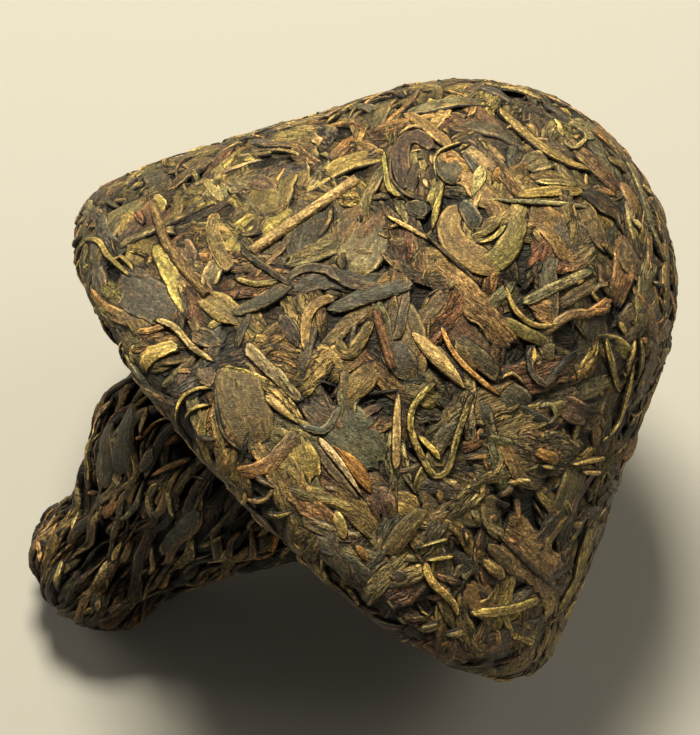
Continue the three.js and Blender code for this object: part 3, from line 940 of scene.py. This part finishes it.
# %% The shown pieces: kind, colour, width in pixels, then the pixels of its middle line
SHOWN = [
    ("twig", "tan", 12, (252, 252), (305, 216), (357, 180)),
    ("twig", "brown", 10, (154, 205), (165, 240), (185, 270), (207, 296)),
    ("twig", "red_brown", 10, (376, 310), (384, 340), (392, 368)),
    ("strip", "slate", 11, (408, 290), (403, 315), (398, 335), (391, 339)),
    ("strip", "grey_olive", 6, (478, 200), (530, 203), (590, 208)),
    ("strip", "brown", 14, (405, 113), (430, 130), (452, 148)),
    ("strip", "yellow_olive", 7, (383, 150), (386, 170), (390, 190), (403, 197)),
    ("bud", "gold", 8, (446, 182), (438, 205), (432, 232)),
    ("thin", "tan", 4, (437, 180), (435, 160), (445, 150), (465, 143)),
    ("bud", "cream", 14, (482, 166), (478, 182), (472, 198)),
    ("strip", "orange_brown", 8, (500, 165), (493, 185)),
    ("smooth", "dark_olive", 50, (232, 362), (243, 405), (258, 445)),
    ("thin", "charcoal", 5, (215, 385), (222, 430), (240, 450)),
    ("smooth", "olive", 30, (458, 204), (449, 226), (459, 248), (484, 262), (500, 266)),
    ("smooth", "olive", 25, (474, 270), (499, 258), (513, 238), (521, 212)),
    ("strip", "olive", 8, (468, 238), (485, 233), (497, 222), (501, 210)),
    ("thin", "olive_gold", 6, (476, 243), (492, 239), (506, 224)),
    ("broad", "brown", 30, (525, 210), (552, 222), (576, 236)),
    ("smooth", "slate", 46, (116, 283), (148, 299), (180, 317)),
    ("broad", "gold", 20, (155, 242), (172, 278), (188, 312)),
    ("broad", "olive", 28, (202, 294), (222, 308), (240, 320)),
    ("strip", "slate", 16, (232, 314), (262, 302), (290, 285)),
    ("strip", "slate", 12, (280, 285), (300, 270), (325, 269), (350, 283), (400, 290)),
    ("strip", "slate_blue", 18, (330, 310), (370, 295), (412, 283)),
    ("strip", "brown", 12, (305, 350), (308, 315), (325, 300), (337, 300)),
    ("broad", "yellow_olive", 22, (312, 350), (328, 359), (345, 368)),
    ("broad", "brown", 30, (340, 402), (358, 384), (376, 366)),
    ("smooth", "slate", 48, (330, 412), (356, 436), (382, 462)),
    ("strip", "olive", 14, (335, 340), (350, 355), (372, 320)),
    ("smooth", "slate", 30, (385, 342), (400, 360), (412, 378)),
    ("strip", "slate", 16, (280, 315), (290, 330), (300, 345)),
    ("strip", "dark_brown", 19, (432, 148), (420, 138), (405, 142), (401, 160), (406, 188)),
    ("strip", "dark_brown", 14, (424, 160), (414, 172), (410, 192)),
    ("thin", "charcoal", 5, (396, 142), (391, 165), (393, 182), (408, 196), (430, 203)),
    ("thin", "tan", 6, (398, 138), (412, 129), (428, 131)),
    ("bud", "tan", 10, (421, 160), (426, 172)),
    ("shred", "tan", 8, (422, 178), (430, 190)),
    ("strip", "olive_gold", 9, (386, 172), (389, 186), (398, 194)),
    ("strip", "slate", 20, (405, 205), (418, 210), (430, 215)),
    ("strip", "slate_blue", 18, (462, 200), (470, 215), (478, 230)),
    ("broad", "light_brown", 30, (440, 262), (475, 304), (512, 346)),
    ("thin", "tan", 6, (385, 215), (408, 228), (430, 240)),
    ("thin", "charcoal", 5, (420, 230), (450, 257), (480, 285)),
    ("ribbon", "slate", 20, (452, 340), (475, 354), (498, 378)),
    ("strip", "dark_olive", 16, (455, 340), (468, 355), (480, 370)),
    ("thin", "orange_brown", 7, (440, 325), (455, 355), (480, 380), (500, 395)),
    ("bud", "tan", 16, (411, 332), (430, 350), (450, 372), (466, 390)),
    ("hairpin", "gold", 8, (436, 381), (420, 396), (410, 416), (413, 438), (424, 462), (435, 476),
     (447, 468), (455, 440), (463, 415), (471, 392)),
    ("strip", "gold", 8, (416, 434), (428, 445), (441, 460)),
    ("thin", "tan", 10, (398, 392), (396, 430), (396, 470)),
    ("thin", "cream", 7, (410, 438), (411, 448)),
    ("strip", "purple_brown", 10, (310, 438), (332, 470), (358, 500)),
    ("bud", "orange_brown", 15, (330, 442), (353, 464), (372, 494)),
    ("bud", "cream", 9, (318, 437), (341, 465), (364, 499)),
    ("broad", "olive_gold", 28, (300, 438), (306, 460), (312, 482)),
    ("strip", "slate_blue", 10, (300, 425), (325, 430), (340, 405)),
    ("strip", "grey_olive", 14, (245, 345), (275, 375), (302, 402)),
    ("bud", "cream", 8, (276, 366), (286, 382), (295, 397)),
    ("bud", "tan", 10, (265, 395), (282, 410), (300, 425)),
    ("thin", "cream", 7, (237, 365), (250, 368)),
    ("thin", "tan", 8, (155, 320), (175, 328), (195, 350), (215, 362)),
    ("broad", "slate", 22, (190, 330), (205, 338), (220, 345)),
    ("strip", "purple_brown", 20, (200, 365), (212, 385)),
    ("thin", "gold", 5, (178, 425), (182, 400), (195, 390), (212, 388)),
    ("thin", "gold", 5, (185, 420), (195, 408), (212, 405)),
    ("thin", "charcoal", 6, (195, 435), (220, 440)),
    ("strip", "slate_blue", 9, (530, 345), (530, 370), (545, 383), (560, 365), (577, 352)),
    ("thin", "gold", 6, (533, 345), (533, 365)),
    ("strip", "grey_olive", 20, (540, 345), (555, 356)),
    ("strip", "grey_olive", 12, (522, 303), (555, 287), (592, 270)),
    ("broad", "brown", 26, (532, 305), (558, 316)),
    ("thin", "olive_gold", 7, (505, 285), (515, 310), (535, 325), (562, 323)),
    ("strip", "olive", 14, (500, 320), (530, 335), (550, 345)),
    ("smooth", "slate", 33, (502, 388), (528, 412)),
    ("thin", "tan", 5, (500, 380), (510, 372), (525, 385)),
    ("thin", "grey_olive", 7, (538, 408), (548, 403), (555, 415), (546, 425)),
    ("broad", "dark_brown", 28, (562, 402), (588, 418)),
    ("strip", "olive_gold", 10, (605, 336), (612, 370), (620, 392)),
    ("thin", "olive", 8, (638, 335), (640, 358), (636, 380)),
    ("thin", "gold", 8, (633, 362), (625, 395), (615, 425), (600, 442)),
    ("strip", "charcoal", 24, (583, 190), (602, 203), (622, 216)),
    ("strip", "brown", 16, (620, 180), (635, 215)),
    ("strip", "gold", 12, (515, 196), (550, 192), (583, 191)),
    ("strip", "tan", 9, (534, 181), (556, 183), (576, 186)),
    ("broad", "grey_olive", 25, (520, 165), (555, 160)),
    ("broad", "grey_olive", 22, (404, 112), (450, 104), (496, 104)),
    ("broad", "slate_blue", 17, (458, 84), (490, 91), (520, 104)),
    ("broad", "slate", 24, (466, 122), (494, 130), (520, 142)),
    ("broad", "brown", 30, (625, 235), (622, 270), (617, 305)),
    ("thin", "yellow_olive", 8, (628, 140), (649, 165), (662, 195), (670, 225)),
    ("strip", "olive_gold", 13, (500, 110), (530, 140), (560, 160), (590, 170)),
    ("strip", "tan", 20, (498, 88), (521, 92), (543, 101)),
    ("strip", "slate", 26, (440, 158), (449, 171), (464, 180)),
    ("strip", "slate_blue", 10, (462, 152), (472, 164), (478, 176)),
    ("shred", "gold", 7, (457, 152), (470, 144)),
    ("shred", "orange_brown", 14, (592, 132), (601, 140), (610, 148)),
    ("thin", "grey_olive", 6, (572, 126), (584, 138), (572, 150), (561, 140)),
    ("broad", "orange_brown", 24, (590, 128), (610, 142)),
    ("strip", "dark_olive", 12, (606, 158), (628, 172)),
    ("strip", "grey_olive", 10, (625, 160), (645, 210), (655, 240), (668, 270)),
    ("strip", "yellow_olive", 12, (655, 180), (664, 200), (668, 220)),
    ("broad", "purple_brown", 30, (618, 240), (629, 258), (640, 275)),
    ("bud", "cream", 9, (630, 219), (640, 231)),
    ("broad", "light_brown", 48, (505, 530), (533, 559), (562, 588)),
    ("strip", "purple_brown", 16, (488, 545), (507, 562), (526, 580)),
    ("thin", "charcoal", 6, (495, 532), (525, 562), (556, 590)),
    ("ribbon", "olive_gold", 26, (590, 528), (577, 570), (560, 612)),
    ("shred", "olive_gold", 14, (480, 560), (492, 568), (505, 577)),
    ("strip", "orange_brown", 13, (532, 450), (545, 455), (558, 461)),
    ("shred", "gold", 7, (538, 465), (556, 468)),
    ("shred", "cream", 8, (479, 436), (488, 437)),
    ("strip", "grey_olive", 11, (486, 438), (500, 440), (514, 446)),
    ("thin", "gold", 7, (570, 464), (588, 460), (605, 457)),
    ("thin", "tan", 7, (580, 471), (600, 472)),
    ("broad", "grey_olive", 22, (222, 258), (213, 272), (207, 288)),
    ("strip", "olive", 7, (234, 278), (256, 285), (279, 281)),
    ("shred", "cream", 8, (260, 275), (273, 273)),
    ("thin", "gold", 10, (424, 560), (430, 580), (450, 600), (458, 615)),
    ("thin", "gold", 6, (425, 560), (455, 555)),
    ("strip", "olive_gold", 12, (470, 613), (510, 608), (540, 598)),
    ("strip", "dark_olive", 22, (386, 556), (400, 535), (424, 508)),
    ("smooth", "slate", 30, (312, 538), (344, 565), (376, 592)),
    ("strip", "slate", 14, (385, 570), (410, 580)),
    ("broad", "olive_gold", 28, (395, 500), (420, 510)),
    ("broad", "purple_brown", 28, (375, 485), (385, 520)),
    ("strip", "olive_gold", 12, (335, 510), (345, 540)),
    ("thin", "orange_brown", 10, (355, 545), (368, 560)),
    ("strip", "olive", 18, (215, 212), (215, 240), (230, 270)),
    ("broad", "grey_olive", 26, (226, 180), (250, 190)),
    ("strip", "tan", 13, (205, 178), (222, 200)),
    ("strip", "purple_brown", 20, (250, 180), (275, 190)),
    ("broad", "purple_brown", 20, (180, 240), (195, 262)),
    ("thin", "red_brown", 10, (136, 212), (144, 224)),
    ("thin", "olive", 7, (85, 240), (100, 243), (110, 258), (130, 276)),
    ("thin", "olive", 6, (110, 265), (122, 258), (135, 272)),
    ("strip", "yellow_olive", 14, (153, 197), (167, 209)),
    ("thin", "charcoal", 9, (240, 250), (265, 268), (290, 285)),
    ("broad", "olive_gold", 24, (300, 192), (345, 164), (385, 155)),
    ("broad", "grey_olive", 24, (285, 262), (315, 252), (345, 240)),
    ("thin", "cream", 4, (283, 131), (297, 128)),
    ("thin", "cream", 4, (319, 120), (333, 117)),
]
SHOWN_LIFT = {"broad": (0.25, 0.40), "smooth": (0.2, 0.35), "ribbon": (0.35, 0.5), "strip": (0.4, 0.6),
              "shred": (0.5, 0.6), "thin": (0.5, 0.7), "bud": (0.5, 0.65), "twig": (0.75, 0.90),
              "hairpin": (0.65, 0.75)}
SHOWN_CREASED = (0.15, 0.60)
SHOWN_TUCK, SHOWN_VARIED = 0.35, 0.06
shown_places = []


def tucked(lift, tuck, dip, count):
    """Heights along a line that dips at its ends, one more than the other."""
    parts = [2 * i / (count - 1) - 1 for i in range(count)]
    return [lift + dip * part / 2 - tuck * part**4 for part in parts]


for kind, tint, width, *pixels in SHOWN:
    places = sighted_line(pixels)
    tuck = 0.0 if kind in ("twig", "hairpin") else SHOWN_TUCK
    lifts = tucked(between(*SHOWN_LIFT[kind]), tuck, 0.0, len(places))
    changes = {} if "creased" in KINDS[kind] else {"creased": between(*SHOWN_CREASED)}
    add_piece(kind, places, varied(tint, SHOWN_VARIED), width * PIXEL_MM, lifts, **changes)
    shown_places += places
print("shown pieces:", len(SHOWN))

# %% [markdown]
# ## The rest of the leaves
#
# Round those, and over the sides that the photograph doesn't show, some 3,600 more pieces cover
# the cap. Each new one takes the freest of a few drawn places, lies roughly as its neighbours
# do, and dips at one end, so that it slides under them as pressed leaf does.

# %% Scattered pieces: how many, and their lengths, widths, heights and colours
SCATTERED = {
    "under": dict(
        count=300, length=(13, 22), width=(7.0, 11.0), curl=0.3, spread=1.2, lift=(-0.8, -0.3),
        tints={
            "slate": 6, "purple_brown": 5, "olive": 4, "olive_gold": 1, "brown": 4, "grey_olive": 3,
            "dark_olive": 5,
        },
    ),
    "broad": dict(
        count=360, length=(8, 16), width=(3.8, 7.5), curl=0.4, spread=0.9, lift=(-0.30, 0.15),
        tints={
            "slate": 7, "slate_blue": 3, "purple_brown": 5, "olive": 4, "olive_gold": 3, "brown": 5,
            "grey_olive": 4, "dark_olive": 3, "yellow_olive": 1, "red_brown": 2,
        },
    ),
    "smooth": dict(
        count=45, length=(8, 14), width=(4.0, 7.0), curl=0.3, spread=0.9, lift=(-0.2, 0.15),
        tints={
            "slate": 5, "olive": 3, "grey_olive": 3, "olive_gold": 1, "brown": 3, "dark_olive": 3,
        },
    ),
    "ribbon": dict(
        count=420, length=(7, 17), width=(2.2, 4.2), curl=0.6, spread=0.8, lift=(-0.25, 0.20),
        tints={
            "slate": 6, "slate_blue": 4, "purple_brown": 4, "olive": 4, "grey_olive": 4, "brown": 5,
            "dark_olive": 3, "olive_gold": 3, "gold": 1, "red_brown": 2, "orange_brown": 1,
        },
    ),
    "strip": dict(
        count=360, length=(6, 17), width=(1.4, 2.8), curl=0.8, spread=0.7, lift=(-0.20, 0.25),
        tints={
            "slate": 6, "slate_blue": 4, "purple_brown": 5, "olive": 4, "grey_olive": 4, "brown": 5,
            "dark_olive": 3, "olive_gold": 3, "tan": 2, "gold": 1, "red_brown": 2, "orange_brown": 2,
        },
    ),
    "shred": dict(
        count=1700, length=(1.5, 5.5), width=(0.5, 1.8), curl=0.7, spread=1.6, lift=(-0.15, 0.30),
        tints={
            "slate": 4, "purple_brown": 4, "olive": 3, "olive_gold": 3, "brown": 5, "tan": 2, "gold": 2,
            "dark_olive": 3, "grey_olive": 2, "orange_brown": 2, "red_brown": 1, "charcoal": 3,
        },
    ),
    "thin": dict(
        count=330, length=(3, 11), width=(0.5, 1.1), curl=2.2, spread=0.9, lift=(-0.10, 0.25),
        tints={
            "olive_gold": 4, "tan": 3, "gold": 3, "brown": 5, "olive": 3, "orange_brown": 3, "cream": 1,
            "slate": 3, "red_brown": 2, "yellow_olive": 1, "charcoal": 2,
        },
    ),
    "bud": dict(
        count=50, length=(4, 9), width=(1.2, 2.0), curl=0.5, spread=1.2, lift=(0.0, 0.35),
        tints={
            "gold": 4, "cream": 1, "tan": 3, "yellow_olive": 2, "orange_brown": 1,
        },
    ),
    "twig": dict(
        count=8, length=(9, 16), width=(1.1, 1.5), curl=0.1, spread=1.5, lift=(0.1, 0.4),
        tints={
            "tan": 1, "orange_brown": 2, "red_brown": 2, "brown": 2,
        },
    ),
}
DIP = 0.5
TUCK = (0.2, 0.9)
KINK = 0.2
# Small pieces keep clear of the shown ones; larger ones slide under them.
KEPT_CLEAR = ("shred", "thin", "bud", "twig")


def scatter(kind, count, length, width, curl, spread, lift, tints):
    taken = list(shown_places) if kind in KEPT_CLEAR else []
    for _ in range(count):
        start = free_place(taken)
        taken.append(start)
        long = between(*length)
        heading = grain_heading(start, spread)
        kink = 0.0 if kind == "twig" else KINK
        points = walked(start - heading * long / 2, heading, long, between(-curl, curl), kink)
        dip = between(0, DIP) * draw.choice((-1, 1))
        lifts = tucked(between(*lift), between(*TUCK), dip, len(points))
        fade = varied(drawn_tint(tints))
        add_piece(kind, points, varied(drawn_tint(tints)), between(*width), lifts, fade=fade)


for kind, rule in SCATTERED.items():
    scatter(kind, **rule)
print("pieces on the cap:", {kind: len(set(lines.numbers["seed"])) for kind, lines in gathered.items()})

# %% The cap's pieces as meshes
FORMS = {
    "under": dict(step=1.4, corners=12, thickness=0.45, flatness=3.0, fold_height=0.10, fold_width=4.0,
                  crumple_height=0.40, crumples_per_mm=0.35, crease_depth=0.25, creases_per_mm=0.35,
                  edge_drop=0.1, ragged=0.5),
    "broad": dict(step=1.0, corners=16, thickness=0.45, flatness=2.6, fold_height=0.08, fold_width=3.0,
                  crumple_height=0.36, crumples_per_mm=0.5, crease_depth=0.30, creases_per_mm=0.45,
                  edge_drop=0.12, ragged=1.1),
    "smooth": dict(step=1.0, corners=18, thickness=0.45, flatness=2.8, fold_height=0.03, fold_width=3.0,
                   crumple_height=0.20, crumples_per_mm=0.4, crease_depth=0.08, creases_per_mm=0.35,
                   edge_drop=0.15, ragged=0.5),
    "ribbon": dict(step=1.0, corners=14, thickness=0.50, flatness=2.8, fold_height=0.12, fold_width=2.0,
                   crumple_height=0.30, crumples_per_mm=0.5, crease_depth=0.22, creases_per_mm=0.5,
                   edge_drop=0.12, ragged=1.0),
    "strip": dict(step=1.0, corners=12, thickness=0.60, flatness=2.4, fold_height=0.10, fold_width=1.5,
                  crumple_height=0.26, crumples_per_mm=0.55, crease_depth=0.22, creases_per_mm=0.6,
                  edge_drop=0.10, ragged=0.8),
    "shred": dict(step=1.0, corners=8, thickness=0.50, flatness=2.4, fold_height=0.08, fold_width=1.2,
                  crumple_height=0.25, crumples_per_mm=0.6, crease_depth=0.1, creases_per_mm=0.6,
                  edge_drop=0.08, ragged=1.4),
    "thin": dict(step=0.9, corners=8, thickness=0.55, flatness=1.5, fold_height=0.04, fold_width=0.8,
                 crumple_height=0.24, crumples_per_mm=0.6, crease_depth=0.08, creases_per_mm=0.8,
                 edge_drop=0.1, ragged=0.8),
    "bud": dict(step=0.7, corners=14, thickness=0.70, flatness=1.5, fold_height=0.10, fold_width=0.8,
                crumple_height=0.16, crumples_per_mm=0.6, crease_depth=0.1, creases_per_mm=0.8,
                edge_drop=0.1, ragged=0.25),
    "twig": dict(step=1.2, corners=14, thickness=1.20, flatness=1.2, fold_height=0.05, fold_width=0.5,
                 crumple_height=0.08, crumples_per_mm=0.4, crease_depth=0.0, creases_per_mm=0.5,
                 edge_drop=0.0, ragged=0.08),
}
NAMES = {
    "under": ("under_leaves", leaf_finish),
    "broad": ("broad_leaves", leaf_finish),
    "smooth": ("smooth_leaves", leaf_finish),
    "ribbon": ("leaf_ribbons", leaf_finish),
    "strip": ("rolled_strips", strip_finish),
    "shred": ("leaf_shreds", leaf_finish),
    "thin": ("thin_strips", strip_finish),
    "bud": ("buds", bud_finish),
    "twig": ("twigs", twig_finish),
}
pieces = [leaves(name, gathered[kind], finish, **FORMS[kind]) for kind, (name, finish) in NAMES.items()]

# %% [markdown]
# ## The stem
#
# The bag's neck was twisted tight, so here the leaf is drawn out into strands that run down the
# stem with a slant and fray at its end.


# %% Strands down the stem
NECK = OUTLINE_RUNS[np.argmax((OUTLINE[:, 1] < -RIM_ROUND - 1) & (OUTLINE[:, 0] < HOLLOW_RADIUS))]
WAVE_SIZE, WAVE_MM = 0.09, 11.0


def stem_line(turn, start, length, slant, points=7):
    """A line down the stem, by its distances along the template from the neck, in millimetres."""
    at = np.linspace(NECK + start, NECK + start + length, points)
    radius = np.interp(at, OUTLINE_RUNS, OUTLINE[:, 0])
    height = np.interp(at, OUTLINE_RUNS, OUTLINE[:, 1])
    turns = turn + slant * (at - at[0]) / STEM_RADII[1]
    turns = turns + between(0, WAVE_SIZE) * np.sin(at * 2 * math.pi / WAVE_MM + between(0, 2 * math.pi))
    return skin_point(radius, height, turns)


# Painted light and shade on the stem's strands: a factor on their colour, from the neck to the stem's end.
STEM_PAINTED_SHADE = (1.2, 0.2)
strands = Lines()


def painted_stem_shade(points):
    """Painted light and shade: the strands are painted brighter near the neck and darker towards the stem's
    end.
    """
    along = float((np.array(points[len(points) // 2]) - CENTRE) @ ALONG_AXIS)
    part = min(max(-along / STEM_REACH, 0), 1)
    return STEM_PAINTED_SHADE[0] + (STEM_PAINTED_SHADE[1] - STEM_PAINTED_SHADE[0]) * part


# A tint with the stem's painted light and shade on it.
def with_painted_stem_shade(tint, points):
    shade = painted_stem_shade(points) ** between(0.5, 1.5)
    return [channel * shade for channel in varied(tint)[:3]] + [1.0]


def add_strand(points, colour, width, lifts, point=0.3):
    numbers = dict(half_width=width / 2, lift=lifts, rise=0.4, roll=between(-0.3, 0.3), point=point)
    strands.add(points, colour, **numbers)


# %% The stem's strands: wide dark ones first, then many narrow ones over them
STEM_SPAN = (-4, 44)
WIDE_STRANDS = dict(
    count=80, length=(12, 22), width=(3.5, 6.5), lift=(-0.9, -0.3), tuck=0.3, dip=0.3,
    tints={
        "charcoal": 5, "slate": 5, "purple_brown": 3, "dark_olive": 3, "brown": 1,
    },
)
NARROW_STRANDS = dict(
    count=560, length=(4, 15), width=(0.4, 1.9), lift=(-0.3, 0.8), tuck=0.6, dip=0.5,
    tints={
        "charcoal": 8, "slate": 5, "dark_olive": 3, "purple_brown": 4, "brown": 5, "olive": 2,
        "red_brown": 2, "orange_brown": 3, "tan": 3, "gold": 2, "cream": 1,
    },
)


def lay_strands(drawn_slant, count, length, width, lift, tuck, dip, tints):
    for _ in range(count):
        points = stem_line(between(0, 2 * math.pi), between(*STEM_SPAN), between(*length), drawn_slant())
        colour = with_painted_stem_shade(drawn_tint(tints), points)
        add_strand(points, colour, between(*width), tucked(between(*lift), tuck, dip, len(points)))


lay_strands(lambda: between(0.1, 0.5), **WIDE_STRANDS)
lay_strands(lambda: draw.gauss(0.35, 0.2), **NARROW_STRANDS)
print("strands:", WIDE_STRANDS["count"] + NARROW_STRANDS["count"])

# %% The strands that the photograph shows, then tips that stand out at the stem's frayed end
SHOWN_STRANDS = [
    ("slate", 30, (115, 425), (110, 455), (104, 485)),
    ("slate", 28, (135, 405), (128, 440), (118, 470)),
    ("tan", 9, (116, 400), (99, 426), (93, 452)),
    ("olive_gold", 8, (97, 430), (91, 455), (92, 482)),
    ("tan", 6, (104, 458), (102, 474), (102, 490)),
    ("orange_brown", 8, (90, 492), (101, 493)),
    ("olive_gold", 9, (150, 408), (146, 422), (142, 436)),
    ("purple_brown", 14, (154, 446), (150, 458), (142, 470)),
    ("orange_brown", 8, (152, 476), (170, 466), (192, 458)),
    ("cream", 11, (114, 468), (119, 478), (124, 488)),
    ("cream", 5, (192, 476), (200, 478), (210, 479)),
    ("grey_olive", 7, (147, 480), (141, 500), (126, 515), (114, 517)),
    ("cream", 7, (169, 486), (172, 500), (175, 515)),
    ("slate_blue", 20, (198, 508), (182, 530), (162, 552)),
    ("olive_gold", 6, (200, 545), (212, 540), (226, 532)),
    ("gold", 9, (126, 538), (121, 549), (114, 561)),
    ("orange_brown", 6, (106, 568), (108, 590)),
    ("tan", 7, (155, 543), (150, 572)),
    ("tan", 9, (65, 560), (61, 573), (58, 588)),
    ("tan", 8, (82, 510), (78, 522), (75, 536)),
    ("tan", 8, (60, 513), (49, 532), (43, 550), (40, 568)),
    ("orange_brown", 7, (63, 525), (58, 545)),
    ("brown", 8, (101, 596), (97, 612)),
    ("olive_gold", 7, (133, 590), (130, 608)),
    ("purple_brown", 9, (128, 500), (116, 530), (110, 560)),
    ("charcoal", 12, (150, 520), (140, 560), (130, 600)),
]
SHOWN_STRAND_LIFT, SHOWN_STRAND_TUCK = (1.0, 1.4), 0.3
for tint, width, *pixels in SHOWN_STRANDS:
    places = sighted_line(pixels)
    colour = varied(tint)
    lifts = tucked(between(*SHOWN_STRAND_LIFT), SHOWN_STRAND_TUCK, 0.0, len(places))
    add_strand(places, colour, width * PIXEL_MM, lifts)

TIPS = 110
TIP_SPAN, TIP_LENGTH, TIP_SLANT = (38, 58), (4, 9), (-0.5, 0.9)
TIP_RISE, TIP_WIDTH, TIP_POINTS = (0.6, 2.2), (0.7, 1.8), 5
TIP_TINTS = {"charcoal": 4, "brown": 3, "purple_brown": 3, "dark_olive": 3, "tan": 1, "orange_brown": 2,
             "olive": 1}
for _ in range(TIPS):
    length = between(*TIP_LENGTH)
    points = stem_line(
        between(0, 2 * math.pi), between(*TIP_SPAN), length, between(*TIP_SLANT), TIP_POINTS
    )
    rise = between(*TIP_RISE)
    lifts = [0.1 + rise * (i / (TIP_POINTS - 1)) ** 1.5 for i in range(TIP_POINTS)]
    add_strand(points, with_painted_stem_shade(drawn_tint(TIP_TINTS), points), between(*TIP_WIDTH), lifts, point=0.5)
STRAND_FORM = dict(step=1.1, corners=10, thickness=0.6, flatness=1.8, fold_height=0.12, fold_width=1.4,
                   crumple_height=0.35, crumples_per_mm=0.5, crease_depth=0.25, creases_per_mm=0.6,
                   edge_drop=0.2, ragged=0.5)
stem = leaves("stem_strands", strands, strip_finish, **STRAND_FORM)

# %% [markdown]
# ## The light and the floor
#
# The photograph's light comes from above and a little behind the cake, so that the near flank and
# the stem fall into shade. One lamp does that. Two wide ones lift the cake's two ends, and a weak
# one, a pale floor and a dim sky fill the rest.

# %% Light, sky and floor
def add_lamp(name, towards, size, power):
    """A square lamp that lights the cake from a direction given along the picture's own axes."""
    right, up, back = towards
    direction = Vector(right * view_right + up * view_up + back * view_back).normalized()
    lamp = bpy.data.objects.new(name, bpy.data.lights.new(name, "AREA"))
    bpy.context.scene.collection.objects.link(lamp)
    lamp.data.size = size
    lamp.data.energy = power
    lamp.data.color = LAMP_COLOUR
    lamp.location = Vector(CENTRE * MM) + direction * LAMP_DISTANCE
    lamp.rotation_euler = (-direction).to_track_quat("-Z", "Y").to_euler()


LAMP_DISTANCE = 0.7
LAMP_COLOUR = (1.0, 0.935, 0.73)
SKY_COLOUR, SKY_STRENGTH = (1.0, 0.93, 0.82, 1.0), 0.10
add_lamp("key", (-0.06, 0.755, 0.65), 0.18, 11.3)
add_lamp("far side", (0.70, 0.50, 0.50), 0.40, 1.6)
add_lamp("near side", (-0.80, 0.58, 0.15), 0.40, 1.8)
add_lamp("fill", (0.5, -0.1, 0.8), 0.9, 0.4)
world = bpy.data.worlds.new("sky")
world.use_nodes = True
world.node_tree.nodes["Background"].inputs["Color"].default_value = SKY_COLOUR
world.node_tree.nodes["Background"].inputs["Strength"].default_value = SKY_STRENGTH
bpy.context.scene.world = world
bpy.context.scene.view_settings.view_transform = "Standard"

FLOOR_SIZE = 3.0
FLOOR_COLOUR, FLOOR_ROUGHNESS = (0.31, 0.30, 0.285, 1), 0.8
floor_mesh = bpy.data.meshes.new("floor")
reach = FLOOR_SIZE / 2
floor_corners = [(-reach, -reach, 0), (reach, -reach, 0), (reach, reach, 0), (-reach, reach, 0)]
floor_mesh.from_pydata(floor_corners, [], [(0, 1, 2, 3)])
floor = add_object("floor", floor_mesh)
floor_paint = bpy.data.materials.new("floor")
floor_paint.use_nodes = True
floor_shader = floor_paint.node_tree.nodes["Principled BSDF"]
floor_shader.inputs["Base Color"].default_value = FLOOR_COLOUR
floor_shader.inputs["Roughness"].default_value = FLOOR_ROUGHNESS
floor.data.materials.append(floor_paint)
print("lamps:", [lamp.name for lamp in bpy.data.lights])

# %% [markdown]
# ## The frame again
#
# Every piece rides on the one body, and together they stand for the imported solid.

# %% Pieces on their body
bpy.data.objects.remove(skin)
for piece in (core, *pieces, stem):
    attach(piece, "root")
    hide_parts("mushroom_tuocha")
